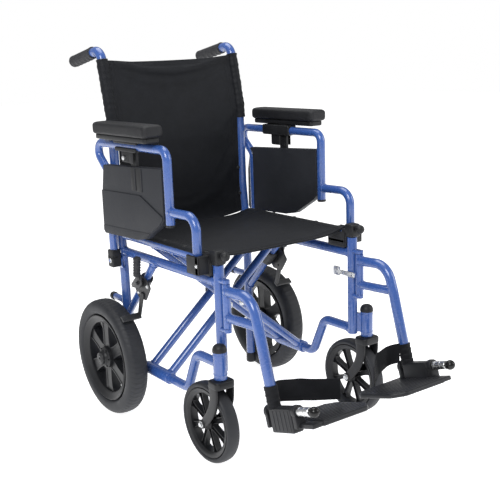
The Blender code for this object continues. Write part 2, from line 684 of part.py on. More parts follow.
def build_arm_clamp(s, tag):
    """Front receiver of the armrest, the saddle of the seat rail and the cap on the front post."""
    x, post_x = s * ARM_X, s * FRAME_X
    top = UPPER_RAIL_Z + RAIL_R + GAP
    receiver = box(*(mirrored(corner, s) for corner in CLAMP_RECEIVER), bevel=RECEIVER_BEVEL)
    cap = box((s * CLAMP_CAP_X[0], CLAMP_CAP_Y[0], FRONT_POST_TOP + GAP),
              (s * CLAMP_CAP_X[1], CLAMP_CAP_Y[1], CLAMP_CAP_TOP), bevel=CLASP_BEVEL)
    saddle = box((s * CLAMP_SADDLE_X[0], CLAMP_SADDLE_Y[0], top),
                 (s * CLAMP_SADDLE_X[1], CLAMP_SADDLE_Y[1], CLAMP_SADDLE_TOP))
    post = rod((post_x, FRONT_POST_Y, UPPER_RAIL_Z - THROUGH), (post_x, FRONT_POST_Y, FRONT_POST_TOP + GAP),
               TUBE_R + GAP)
    foot, above, back = ARM_BRANCH_FOOT - GAP, CLAMP_CAP_TOP + GAP, CLAMP_SADDLE_Y[1] + THROUGH
    tube_slot = rod((x, ARM_BRANCH_Y, foot), (x, ARM_BRANCH_Y, above), ARM_R + GAP)
    mouth = box((x - ARM_R - GAP, ARM_BRANCH_Y, foot), (x + ARM_R + GAP, back, above))
    groove = rod((post_x, GROOVE_FRONT, SEAT_RAIL_Z), (post_x, back, SEAT_RAIL_Z), TUBE_R + GAP)
    lift = box((post_x - TUBE_R - GAP, GROOVE_FRONT, SEAT_RAIL_Z), (post_x + TUBE_R + GAP, back, above))
    screw_hole = rod((post_x, KNOB_Y, KNOB_Z), (post_x, KNOB_SCREW_END + GAP, KNOB_Z), PIN_R + GAP)
    clamp = cut(join(receiver, cap, saddle), post, tube_slot, mouth, groove, lift, screw_hole)
    node(f"arm_clamp_{tag}", clamp, "black")
    knob_axis = empty(f"knob_axis_{tag}", (post_x, KNOB_Y, KNOB_Z), CHAIR)
    screw = rod((post_x, KNOB_Y, KNOB_Z), (post_x, KNOB_SCREW_END, KNOB_Z), PIN_R)
    node(f"clamp_knob_{tag}", join(ball((post_x, KNOB_Y, KNOB_Z), KNOB_R), screw), "black", knob_axis)


# ---------------------------------------------------------------- brake
def build_brake(s, tag):
    x = s * BRAKE_X
    by, bz = BRAKE_PIVOT
    sy, sz = SHOE_PIVOT
    plate = side_plate(BRAKE_PLATE, s * BRAKE_PLATE_X[0], s * BRAKE_PLATE_X[1])
    start, end = (Vector((s * FRAME_X, *place)) for place in (BRACE_TOP, BRACE_FOOT))
    along = (end - start).normalized()
    collar = rod(start + along * BRAKE_COLLAR[0], start + along * BRAKE_COLLAR[1], BRAKE_COLLAR_R)
    brace = rod(start, end, BRACE_R + GAP)
    pins = [rod((s * BRAKE_PLATE_X[0], y, z), (s * reach, y, z), PIN_R)
            for (y, z), reach in ((BRAKE_PIVOT, LEVER_PIN_X), (SHOE_PIVOT, SHOE_PIN_X))]
    node(f"brake_body_{tag}", cut(join(plate, collar, *pins), brace), "black")

    lever_axis = empty(f"brake_lever_axis_{tag}", (x, by, bz), CHAIR)
    lever = side_plate(LEVER_PLATE, s * LEVER_PLATE_X[0], s * LEVER_PLATE_X[1])
    arm = rod(mirrored(LEVER_ARM_FOOT, s), mirrored(LEVER_ARM_TOP, s), LEVER_ARM_R, FACETS)
    grip = rod(mirrored(LEVER_GRIP_FOOT, s), mirrored(LEVER_GRIP_TOP, s), LEVER_GRIP_R)
    hole = rod((x - THROUGH, by, bz), (x + THROUGH, by, bz), PIN_R + GAP)
    node(f"brake_lever_{tag}", cut(join(lever, arm, grip), hole), "rubber", lever_axis)

    shoe_axis = empty(f"brake_shoe_axis_{tag}", (x, sy, sz), CHAIR)
    py, pz = SHOE_PLACE
    near, far = (s * face for face in SHOE_LINK_X)
    link = rod((near, sy, sz), (far, sy, sz), SHOE_LINK_R)
    middle = Vector((0.0, (sy + py) / 2, (sz + pz) / 2))
    lean = math.atan2(py - sy, sz - pz)
    half = Vector((0.0, SHOE_LINK_HALF, math.hypot(py - sy, pz - sz) / 2))
    reach = box(middle - half + Vector((near, 0, 0)), middle + half + Vector((far, 0, 0)), lean)
    deep, high = SHOE_FOOT_HALF
    foot = box((s * SHOE_FOOT_X[0], py - deep, pz - high), (s * SHOE_FOOT_X[1], py + deep, pz + high),
               SHOE_TILT, bevel=SHOE_BEVEL)
    shoe_hole = rod((near - THROUGH, sy, sz), (near + THROUGH, sy, sz), PIN_R + GAP)
    node(f"brake_shoe_{tag}", cut(join(foot, reach, link), shoe_hole), "black", shoe_axis)


# ---------------------------------------------------------------- footrest
def foot_frame():
    """Directions of the tilted footrest: forwards along the plate, and up out of it."""
    forward = Vector((0.0, -math.cos(FOOT_TILT), math.sin(FOOT_TILT)))
    up = Vector((0.0, math.sin(FOOT_TILT), math.cos(FOOT_TILT)))
    return forward, up


def build_hanger(s, tag):
    x = s * FRAME_X
    hinge = empty(f"hanger_hinge_{tag}", (x, HANGER_HINGE_Y, 0.40), CHAIR)
    route = [(x, HANGER_HINGE_Y, HANGER_START_Z), (x, *HANGER_SHOULDER), (x, *HANGER_KNEE), (x, *HANGER_END)]
    main = tube(route, TUBE_R, HANGER_BEND_R)
    barrel = rod((x, HANGER_HINGE_Y, BARREL_Z[0]), (x, HANGER_HINGE_Y, BARREL_Z[1]), BARREL_R)
    strut = rod((x, HANGER_HINGE_Y, STRUT_Z), (x, *HANGER_KNEE), STRUT_R)
    knee, end = Vector((x, *HANGER_KNEE)), Vector((x, *HANGER_END))
    down = (end - knee).normalized()
    bore = rod(end - down * LENGTH_BORE, end + down * THROUGH, LENGTH_TUBE_R + GAP)
    pins = [rod((x, HANGER_HINGE_Y, z), (x, HANGER_HINGE_Y, z + way * HINGE_BORE_DEEP), HINGE_BORE_R)
            for z, way in HINGE_BORES]
    latch_pin = rod((x, *LATCH_PIVOT), (x - s * LATCH_PIN, *LATCH_PIVOT), LATCH_PIN_R, FACETS)
    post = rod((x, FRONT_POST_Y, BARREL_Z[0] - THROUGH), (x, FRONT_POST_Y, BARREL_Z[1] + THROUGH), TUBE_R + GAP)
    hanger = cut(join(main, barrel, strut, latch_pin), bore, *pins, post)
    node(f"hanger_{tag}", hanger, "blue", hinge)

    latch_axis = empty(f"latch_axis_{tag}", (x - s * LATCH_AXIS, *LATCH_PIVOT), CHAIR)
    ly, lz = LATCH_PIVOT
    lever, tab = (box((x - s * across[0], ly + along[0], lz + above[0]),
                      (x - s * across[1], ly + along[1], lz + above[1]))
                  for across, along, above in (LATCH_LEVER, LATCH_TAB))
    hole = rod((x, ly, lz), (x - s * THROUGH, ly, lz), LATCH_PIN_R + GAP, FACETS)
    node(f"hanger_latch_{tag}", cut(join(lever, tab), hole), "steel", latch_axis)

    slide = empty(f"footrest_slide_{tag}", end, CHAIR)
    forward = foot_frame()[0]
    inner = rod(end - down * LENGTH_TUBE_SPAN[0], end + down * LENGTH_TUBE_SPAN[1], LENGTH_TUBE_R)
    place = Vector((x, *FOOT_HINGE))
    block = foot_box(place, *BLOCK_SPAN, bevel=BLOCK_BEVEL)
    back, front = BLOCK_SPAN[1]
    pin_hole = rod(place + forward * (back - THROUGH), place + forward * (front + THROUGH), FOOT_PIN_R + GAP)
    node(f"footrest_tube_{tag}", cut(join(block, inner), pin_hole), "black", slide)

    pin_axis = empty(f"footplate_axis_{tag}", place, CHAIR)
    pin = rod(place + forward * FOOT_PIN_SPAN[0], place + forward * FOOT_PIN_SPAN[1], FOOT_PIN_R)
    collar = rod(place + forward * COLLAR_SPAN[0], place + forward * COLLAR_SPAN[1], COLLAR_R)
    knob = ball(place + forward * PIN_BALL_PLACE, PIN_BALL_R)
    node(f"footplate_pin_{tag}", join(pin, collar, knob), "steel", pin_axis)

    build_footplate(s, tag, place, pin_axis)
    build_heel_loop(s, tag, end, down, pin_axis)


def foot_box(place, across, along, above, bevel=0.0):
    """A block square to the tilted footrest: limits across X, along it and out of it."""
    forward, up = foot_frame()
    middle = place + forward * sum(along) / 2 + up * sum(above) / 2
    middle.x += sum(across) / 2
    half = Vector((abs(across[1] - across[0]), along[1] - along[0], above[1] - above[0])) / 2
    return box(middle - half, middle + half, -FOOT_TILT, bevel)


def build_footplate(s, tag, place, pivot):
    """Flip-up plate: a slab on two ears round the hinge pin, notched round the block."""
    forward = foot_frame()[0]
    inner = -s * (FRAME_X - PLATE_INNER_X)
    slab = foot_box(place, (-s * PLATE_OUTER, inner), PLATE_SPAN, PLATE_Z, bevel=BLOCK_BEVEL)
    ears = []
    for near, far, reach in PLATE_EARS:
        ears.append(rod(place + forward * near, place + forward * far, EAR_R))
        ears.append(foot_box(place, (-EAR_HALF, EAR_HALF), (near, far), (EAR_FOOT, 0.0)))
        ears.append(foot_box(place, (s * EAR_WEB[0], -s * EAR_WEB[1]), (near, reach), PLATE_Z))
    hinge_hole = rod(place + forward * (PLATE_SPAN[0] - THROUGH), place + forward * (PLATE_SPAN[1] + THROUGH),
                     FOOT_PIN_R + GAP)
    node(f"footplate_{tag}", cut(join(slab, *ears), hinge_hole), "grey", pivot)


def build_heel_loop(s, tag, end, down, pivot):
    """Strap behind the heel, from the hanger tube to the inner end of the plate."""
    x = s * FRAME_X
    out, back = LOOP_START
    route = [(x + s * out, *LOOP_BACK[0]), (x - s * back, *LOOP_BACK[1])]
    route += [mirrored(place, s) for place in LOOP_ROUTE]
    path = rounded(route, LOOP_BEND, LOOP_STEPS)
    bm = bmesh.new()
    rows = [[bm.verts.new((p.x, p.y, p.z + rise)) for rise in (0.0, STRAP_W)] for p in path]
    for one, two in zip(rows, rows[1:]):
        bm.faces.new((one[0], two[0], two[1], one[1]))
    body = from_bmesh(bm)
    thick = body.modifiers.new("thickness", "SOLIDIFY")
    thick.thickness = STRAP_T
    thick.offset = 0.0
    hanger = rod(end - down * THROUGH * 2, end + down * THROUGH, TUBE_R + LOOP_TUBE_CLEAR)
    node(f"heel_loop_{tag}", cut(body, hanger), "fabric", pivot)


# ---------------------------------------------------------------- centre
def build_cross_arm(name, s, tube_ys, bolt):
    """One half of the scissor brace: two tubes from a lower sleeve up to a seat rail.

    s is the side of the lower end. The seat rail is on the other side.
    """
    low = Vector((s * FRAME_X, 0.0, LOWER_RAIL_Z))
    high = Vector((-s * FRAME_X, 0.0, SEAT_RAIL_Z))
    pivot = empty(f"{name}_pivot", low if s < 0 else (low + high) / 2, CHAIR)
    rail = rod((high.x, SEAT_RAIL_FRONT, high.z), (high.x, SEAT_RAIL_BACK, high.z), TUBE_R)
    sleeve = rod((low.x, tube_ys[1] - SLEEVE_OVERHANG, low.z), (low.x, tube_ys[0] + SLEEVE_OVERHANG, low.z),
                 SLEEVE_R)
    offset = Vector((0.0, 1.0, 0.0))
    bars = [rod(low + offset * y, high + offset * y, CROSS_R) for y in tube_ys]
    turning_fit = (RAIL_R + GAP) / math.cos(math.pi / SIDES)
    lower_rail = rod((low.x, RISER_FOOT_Y, low.z), (low.x, THROUGH, low.z), turning_fit)
    middle = (low + high) / 2
    arm = cut(join(rail, sleeve, *bars), lower_rail)
    if bolt:
        shaft = rod(middle + offset * BOLT_Y[0], middle + offset * BOLT_Y[1], BOLT_R)
        head = rod(middle + offset * BOLT_Y[0], middle + offset * (BOLT_Y[0] + BOLT_HEAD), BOLT_HEAD_R, HEX)
        join(arm, shaft, head)
    else:
        cut(arm, rod(middle + offset * (BOLT_Y[0] - THROUGH), middle + offset * (BOLT_Y[1] + THROUGH),
                     BOLT_R + GAP))
    node(name, arm, "blue", pivot)


def build_slings():
    """Seat and back upholstery as closed slabs, shaped like the cloth."""
    half = FRAME_X + SEAT_WRAP
    seat = box((-half, SEAT_RAIL_FRONT, SEAT_Z[0]), (half, SEAT_BACK_Y, SEAT_Z[1]))
    tongue = box((-TONGUE_X, TONGUE_Y[0], SEAT_Z[0]), (TONGUE_X, TONGUE_Y[1], SEAT_Z[1]))
    node("seat_sling", join(seat, tongue), "fabric")
    bm = bmesh.new()
    half = FRAME_X - BACK_CLEAR
    rows = []
    for z, y in BACK_ROWS:
        rows.append([bm.verts.new((-half, y, z)), bm.verts.new((half, y, z))])
    for one, two in zip(rows, rows[1:]):
        bm.faces.new((one[0], one[1], two[1], two[0]))
    body = from_bmesh(bm)
    thick = body.modifiers.new("thickness", "SOLIDIFY")
    thick.thickness = BACK_T
    thick.offset = 0.0
    thick.use_even_offset = True
    node("back_sling", body, "fabric")


for side, letter in ((-1, "r"), (1, "l")):
    build_back_post(side, letter)
    build_side_frame(side, letter)
    build_caster(side, letter)
    build_rear_wheel(side, letter)
    build_grip(side, letter)
    build_armrest(side, letter)
    build_arm_clamp(side, letter)
    build_brake(side, letter)
    build_hanger(side, letter)
build_cross_arm("cross_arm_a", -1, ARM_A_Y, True)
build_cross_arm("cross_arm_b", 1, ARM_B_Y, False)
build_slings()
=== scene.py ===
"""Folding attendant wheelchair: how it looks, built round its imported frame.

Metres, +Z up, the chair faces -Y and its right-hand side is -X. Sizes below are measured from
the rear axle, y positive backwards, and each section makes one group of the chair's pieces.
"""
import json
import math

import bmesh
import bpy
import numpy as np
from mathutils import Matrix, Vector

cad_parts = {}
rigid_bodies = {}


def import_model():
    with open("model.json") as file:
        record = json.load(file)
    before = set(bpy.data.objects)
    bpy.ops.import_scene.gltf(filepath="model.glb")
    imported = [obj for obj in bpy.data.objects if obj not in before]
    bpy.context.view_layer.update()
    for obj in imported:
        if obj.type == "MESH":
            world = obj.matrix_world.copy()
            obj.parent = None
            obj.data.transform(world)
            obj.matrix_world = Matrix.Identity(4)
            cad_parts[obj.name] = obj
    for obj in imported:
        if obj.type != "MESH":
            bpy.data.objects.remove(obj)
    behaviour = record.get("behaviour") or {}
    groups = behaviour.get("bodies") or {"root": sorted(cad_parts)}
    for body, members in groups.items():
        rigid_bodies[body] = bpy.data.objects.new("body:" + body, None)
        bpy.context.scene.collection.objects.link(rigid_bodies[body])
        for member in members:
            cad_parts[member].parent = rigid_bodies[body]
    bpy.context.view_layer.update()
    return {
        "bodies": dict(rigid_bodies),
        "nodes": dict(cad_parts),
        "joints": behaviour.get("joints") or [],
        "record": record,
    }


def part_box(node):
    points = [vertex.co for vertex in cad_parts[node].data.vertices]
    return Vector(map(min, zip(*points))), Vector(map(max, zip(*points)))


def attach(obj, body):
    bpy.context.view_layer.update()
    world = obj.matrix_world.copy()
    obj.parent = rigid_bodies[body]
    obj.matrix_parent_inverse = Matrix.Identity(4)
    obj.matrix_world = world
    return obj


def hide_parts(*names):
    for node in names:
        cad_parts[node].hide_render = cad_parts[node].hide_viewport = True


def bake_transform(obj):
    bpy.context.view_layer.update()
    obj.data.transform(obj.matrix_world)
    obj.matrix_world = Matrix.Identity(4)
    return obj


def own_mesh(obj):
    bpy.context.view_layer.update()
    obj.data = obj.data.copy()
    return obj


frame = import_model()

# ------------------------------------------------------------------ blue steel frame tube
# Welded 25 mm steel tube, bent cold and coated in a glossy blue enamel. Every tube of the
# frame is one bar swept along its bent path, with the weld beads that join it to the next.
SIDES = ((-1, "r"), (1, "l"))
AXLE_Y = sum(corner.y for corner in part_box("rear_rim_r")) / 2
REAR_AXLE_Z = sum(corner.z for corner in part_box("rear_rim_r")) / 2
FRAME_X = 0.207
TUBE_R = 0.0125
RAIL_R = 0.0121
ENAMEL_BLUE = (0.036, 0.098, 0.335)
ENAMEL_DEEP = (0.029, 0.080, 0.290)


class Value:
    """A shader socket that takes part in sums: each operator adds one Math node."""

    def __init__(self, look, socket):
        self.look, self.socket = look, socket

    def math(self, operation, first, second=0.0):
        return self.look.node("ShaderNodeMath", {"operation": operation}, first, second)

    def __add__(self, other):
        return self.math("ADD", self, other)

    def __sub__(self, other):
        return self.math("SUBTRACT", self, other)

    def __rsub__(self, other):
        return self.math("SUBTRACT", other, self)

    def __mul__(self, other):
        return self.math("MULTIPLY", self, other)

    def wave(self):
        return self.math("SINE", self)


class Look:
    """A material under construction: node() adds any node, coat() closes it."""

    def __init__(self, name):
        self.material = bpy.data.materials.new(name)
        self.material.use_nodes = True
        self.tree = self.material.node_tree
        self.shader = self.tree.nodes["Principled BSDF"]
        self.place = self.node("ShaderNodeTexCoord", {}, output="Object")

    def link(self, value, socket):
        if isinstance(value, Value):
            self.tree.links.new(value.socket, socket)
        elif socket.type == "RGBA":
            socket.default_value = (*value[:3], 1.0)
        else:
            socket.default_value = value

    def node(self, kind, settings, *values, output=0, ramp=None, **named):
        made = self.tree.nodes.new(kind)
        for setting, value in settings.items():
            setattr(made, setting, value)
        if ramp:
            stops = made.color_ramp.elements
            while len(stops) < len(ramp):
                stops.new(0.5)
            for stop, (at, shade) in zip(stops, ramp):
                stop.position = at
                stop.color = (shade, shade, shade, 1.0)
        for index, value in enumerate(values):
            self.link(value, made.inputs[index])
        for socket, value in named.items():
            self.link(value, made.inputs[socket.replace("_", " ")])
        return Value(self, made.outputs[output])

    def noise(self, scale, detail=3.0, roughness=0.55, vector=None):
        return self.node("ShaderNodeTexNoise", {}, Vector=vector or self.place, Scale=scale,
                         Detail=detail, Roughness=roughness)

    def ramp(self, factor, *stops):
        return self.node("ShaderNodeValToRGB", {}, factor, ramp=stops)

    def mix(self, factor, one, two):
        """A colour between two, by the factor."""
        made = self.tree.nodes.new("ShaderNodeMix")
        made.data_type = "RGBA"
        ends = [socket for socket in made.inputs if socket.type == "RGBA"]
        for value, socket in zip((factor, one, two), (made.inputs[0], *ends)):
            self.link(value, socket)
        return Value(self, [socket for socket in made.outputs if socket.type == "RGBA"][0])

    def weave(self, pitch):
        """Threads over and under each other, on the cloth's own metres."""
        cloth = self.node("ShaderNodeUVMap", {"uv_map": "cloth"})
        warp, weft = ((self.node("ShaderNodeSeparateXYZ", {}, cloth, output=axis) * pitch).wave()
                      for axis in (0, 1))
        return warp * weft

    def bump(self, height, strength, distance):
        return self.node("ShaderNodeBump", {}, Strength=strength, Distance=distance, Height=height)

    def coat(self, **sockets):
        for socket, value in sockets.items():
            self.link(value, self.shader.inputs[socket.replace("_", " ")])
        return self.material


def enamel():
    """Glossy blue enamel: slight orange peel, a deeper tone where it pooled, fine dust low down."""
    look = Look("blue enamel on steel")
    cloud = look.ramp(look.noise(9.0), (0.30, 0.0), (0.72, 1.0))
    height = look.node("ShaderNodeSeparateXYZ", {}, look.place, output=2)
    dust = look.ramp(height, (0.0, 0.10), (0.10, 0.0)) * look.noise(160.0, 6.0)
    tone = look.mix(cloud, ENAMEL_DEEP, ENAMEL_BLUE)
    tone = look.mix(dust, tone, (0.20, 0.22, 0.26))
    peel = look.noise(420.0, 2.0, 0.4)
    speck = look.ramp(look.noise(1500.0, 1.0), (0.66, 0.0), (0.74, 1.0))
    gloss = look.noise(60.0) * 0.10 + dust * 0.30 + 0.22
    return look.coat(Base_Color=tone, Roughness=gloss, Coat_Weight=0.65, Coat_Roughness=0.08,
                     Specular_IOR_Level=0.55, Normal=look.bump(peel + speck * 0.3, 0.10, 0.0004))


ENAMEL = enamel()


def grid(points, stretch=None):
    """A surface: rows of points, with cloth coordinates in metres where stretch gives them."""
    return np.asarray(points, float), stretch


def sweep(path, radius, around=24, side=(1, 0, 0), edge=0.0, section=None):
    """A closed bar: a round or given section carried along a path, square to it.

    side is a direction that the path never runs along. edge rounds the bar's two ends.
    """
    path = np.asarray(path, float)
    radius = np.broadcast_to(np.asarray(radius, float), len(path)).copy()
    ahead = np.gradient(path, axis=0)
    ahead /= np.linalg.norm(ahead, axis=1)[:, None]
    first, last = ahead[0], ahead[-1]
    rounding = np.linspace(0, math.pi / 2, 4)[:-1] if edge else np.array([0.0])

    def rim(end, inwards, width, turns):
        return [(end + inwards * edge * (1 - math.cos(t)), width - edge * (1 - math.sin(t)))
                for t in turns]

    lead = rim(path[0], first, radius[0], rounding)
    tail = rim(path[-1], -last, radius[-1], rounding[::-1])
    inner = slice(1, -1) if not edge else slice(None)
    middle = path[inner].copy()
    width = radius[inner]
    if edge:
        middle[0] = path[0] + first * edge
        middle[-1] = path[-1] - last * edge
    centres = np.vstack([path[:1], [p for p, _ in lead], middle, [p for p, _ in tail], path[-1:]])
    widths = np.concatenate([[0.0], [r for _, r in lead], width, [r for _, r in tail], [0.0]])
    ahead = np.vstack([[first] * (1 + len(lead)), ahead[inner], [last] * (1 + len(tail))])
    side = np.asarray(side, float)
    across = side - ahead * (ahead @ side)[:, None]
    across /= np.linalg.norm(across, axis=1)[:, None]
    up = np.cross(ahead, across)
    if section is None:
        turn = np.linspace(0, 2 * math.pi, around + 1)
        section = np.stack([np.cos(turn), np.sin(turn)], 1)
    section = np.asarray(section, float)
    ring = section[None, :, 0, None] * across[:, None] + section[None, :, 1, None] * up[:, None]
    return grid(centres[:, None] + ring * widths[:, None, None])


def rod(start, end, radius, around=20, edge=0.0008, side=None):
    """A straight round bar with rounded ends, or a taper where two radii are given."""
    start, end = np.asarray(start, float), np.asarray(end, float)
    ahead = np.abs(end - start) / np.linalg.norm(end - start)
    side = side or np.eye(3)[int(np.argmin(ahead))]
    share = np.linspace(0, 1, 3)[:, None]
    width = radius if np.isscalar(radius) else np.interp(share[:, 0], [0, 1], radius)
    return sweep(start + (end - start) * share, width, around, side, edge)


def bent(corners, radius, steps=9):
    """A path through corners, each turned into an arc of the given radius."""
    corners = [Vector(c) for c in corners]
    path = [corners[0]]
    for before, corner, after in zip(corners, corners[1:], corners[2:]):
        back, on = (before - corner).normalized(), (after - corner).normalized()
        half = back.angle(on) / 2
        centre = corner + (back + on).normalized() * (radius / math.sin(half))
        reach = radius / math.tan(half)
        first = (corner + back * reach - centre).normalized()
        last = (corner + on * reach - centre).normalized()
        path += [centre + first.slerp(last, i / steps) * radius for i in range(steps + 1)]
    return np.array([*map(tuple, path), tuple(corners[-1])])


def ring(centre, direction, radius, thick, around=28):
    """A weld bead or raised band: a torus round a direction, uneven like hand welding."""
    turn = np.linspace(0, 2 * math.pi, around * 2 + 1)
    small = np.linspace(0, 2 * math.pi, 9)
    frame_z = Vector(direction).to_track_quat("Z", "Y").to_matrix()
    wobble = 1 + 0.12 * np.sin(turn * around)
    r = radius + thick * wobble[:, None] * np.cos(small)[None]
    points = np.stack([r * np.cos(turn)[:, None], r * np.sin(turn)[:, None],
                       thick * wobble[:, None] * np.sin(small)[None]], 2)
    return grid(points @ np.array(frame_z).T + np.asarray(centre, float))


def quads_of(index):
    """The four-cornered faces of a grid of vertex numbers."""
    corners = index[:-1, :-1], index[:-1, 1:], index[1:, 1:], index[1:, :-1]
    return np.stack(corners, 2).reshape(-1, 4)


def piece(name, surfaces, look, body=None, stands_for=(), sharp=38.0):
    """Joins surfaces into one mesh, moves it to the frame's y and hangs it on a body.

    A surface is a grid of rows, or a flat list of points for a cap. Edges that meet are welded,
    and those steeper than sharp degrees stay crisp.
    """
    sheets = [s for s in surfaces if s[0].ndim == 3]
    caps = [s[0] for s in surfaces if s[0].ndim == 2]
    starts = np.cumsum([0] + [rows.shape[0] * rows.shape[1] for rows, _ in sheets])
    quads = []
    for (rows, _), start in zip(sheets, starts):
        index = start + np.arange(rows.shape[0] * rows.shape[1]).reshape(rows.shape[:2])
        quads.append(quads_of(index))
    quads = np.vstack(quads)
    points = np.vstack([rows.reshape(-1, 3) for rows, _ in sheets])
    cloth = np.vstack([np.zeros((rows.shape[0] * rows.shape[1], 2)) if stretch is None
                       else np.reshape(stretch, (-1, 2)) for rows, stretch in sheets])
    mesh = bpy.data.meshes.new(name)
    mesh.vertices.add(len(points))
    mesh.loops.add(quads.size)
    mesh.polygons.add(len(quads))
    mesh.vertices.foreach_set("co", points.astype(np.float32).ravel())
    mesh.loops.foreach_set("vertex_index", quads.astype(np.int32).ravel())
    mesh.polygons.foreach_set("loop_start", np.arange(0, quads.size, 4, dtype=np.int32))
    mesh.update(calc_edges=True)
    unwrapped = cloth[quads.ravel()].astype(np.float32).ravel()
    mesh.uv_layers.new(name="cloth").data.foreach_set("uv", unwrapped)
    bm = bmesh.new()
    bm.from_mesh(mesh)
    for cap in caps:
        bm.faces.new([bm.verts.new(point) for point in cap])
    bmesh.ops.remove_doubles(bm, verts=bm.verts, dist=2e-6)
    bmesh.ops.dissolve_degenerate(bm, edges=bm.edges, dist=1e-7)
    bmesh.ops.recalc_face_normals(bm, faces=bm.faces)
    bmesh.ops.translate(bm, verts=bm.verts, vec=(0.0, AXLE_Y, 0.0))
    bm.to_mesh(mesh)
    bm.free()
    mesh.shade_smooth()
    mesh.set_sharp_from_angle(angle=math.radians(sharp))
    made = bpy.data.objects.new(name, mesh)
    bpy.context.scene.collection.objects.link(made)
    made.data.materials.append(look)
    if body:
        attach(made, body)
    if stands_for:
        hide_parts(*stands_for)
    return made


# ------------------------------------------------------------------ back posts
# One tube each side: rear upright, bend at the seat, cane and push handle. A tipping stub for
# the attendant's foot, the armrest's pivot bracket and a black cap on each open end.
UPPER_RAIL_Z = 0.445
LOWER_RAIL_Z = 0.140
POST_TIP_Z = 0.028
HANDLE_CORNER = (0.048, 0.972)
HANDLE_END = (0.205, 0.944)
CANE = ((0.0, 0.44), (0.013, 0.58), (0.013, 0.80), HANDLE_CORNER)
STUB_Z = 0.304
STUB_R = 0.0095
ARM_PIVOT = (-0.005, 0.425)
BEND_R = 0.030
WELD_R = 0.0014


def moulded(name, tone, grain=900.0, rough=0.48, depth=0.00025, patch=0.35):
    """Injection-moulded plastic: fine spark-eroded grain, faint flow marks and rubbed edges."""
    look = Look(name)
    flow = look.ramp(look.noise(14.0, 4.0), (0.35, 0.0), (0.70, 1.0))
    cells = look.node("ShaderNodeTexVoronoi", {"feature": "SMOOTH_F1"}, Vector=look.place,
                      Scale=grain)
    rub = look.ramp(look.noise(75.0, 5.0), (0.56, 0.0), (0.70, 1.0))
    light = tuple(shade * 1.55 + 0.004 for shade in tone)
    colour = look.mix(flow * patch, tone, light)
    colour = look.mix(rub * 0.18, colour, tuple(shade * 2.2 + 0.01 for shade in tone))
    gloss = flow * 0.08 + rub * 0.10 + rough - 0.05
    return look.coat(Base_Color=colour, Roughness=gloss, Specular_IOR_Level=0.30,
                     Normal=look.bump(cells + flow * 0.4, 0.35, depth))


BLACK_PLASTIC = moulded("black moulded plastic", (0.010, 0.0105, 0.012))
FLAT_BAR = ((0.016, 0.0), (0.0155, 0.0015), (-0.0155, 0.0015), (-0.016, 0.0), (-0.0155, -0.0015),
            (0.0155, -0.0015), (0.016, 0.0))

for s, side in SIDES:
    x = s * FRAME_X
    corners = [(x, y, z) for y, z in ((0.0, POST_TIP_Z), *CANE, HANDLE_END)]
    path = bent(corners, BEND_R, 12)
    py, pz = ARM_PIVOT
    bracket = [(x + s * 0.004, py, pz - 0.026), (x + s * 0.0165, py, pz - 0.024),
               (x + s * 0.0165, py, pz + 0.004)]
    parts = [sweep(path, TUBE_R, 32, edge=0.001),
             rod((x, 0.0, STUB_Z), (x, 0.066, STUB_Z), STUB_R),
             ring((x, 0.0120, STUB_Z), (0, 1, 0), STUB_R + 0.0003, WELD_R),
             sweep(bent(bracket, 0.012, 8), 1.0, side=(0, 1, 0), section=FLAT_BAR),
             rod((x + s * 0.012, py, pz), (s * 0.2530, py, pz), 0.0040)]
    piece(f"back_post_tube_{side}", parts, ENAMEL, f"frame_{side}", [f"back_post_{side}"])
    caps = [rod((x, 0.0, POST_TIP_Z - 0.0005), (x, 0.0, POST_TIP_Z + 0.030), 0.0142, 28, 0.004),
            rod((x, 0.062, STUB_Z), (x, 0.0795, STUB_Z), 0.0112, 24, 0.003)]
    piece(f"post_caps_{side}", caps, BLACK_PLASTIC, f"frame_{side}")

# ------------------------------------------------------------------ side frames
# Upper and lower rail, front post and the slanted brake tube, all welded; the lower rail
# rises behind the caster. Two pierced lugs on the front post carry the swing-away footrest.
FRONT_POST_Y = -0.453
FRONT_POST_TOP = 0.4857
FRONT_POST_FOOT = 0.230
RAIL_END_Y = -0.004
LOWER_RAIL_FRONT_Z = 0.243
RISER_FOOT_Y = -0.297
RISER_TOP_Y = -0.345
BRACE_TOP = (-0.170, UPPER_RAIL_Z)
BRACE_FOOT = (0.0, 0.262)
BRACE_WAY = (0, 0.68, -0.73)
WELD_GAP = 0.0128
HANGER_HINGE_Y = -0.4805
LUG_HEIGHTS = ((0.335, 1), (0.451, -1))
LUG_R = 0.0092
LUG_HALF = 0.0045

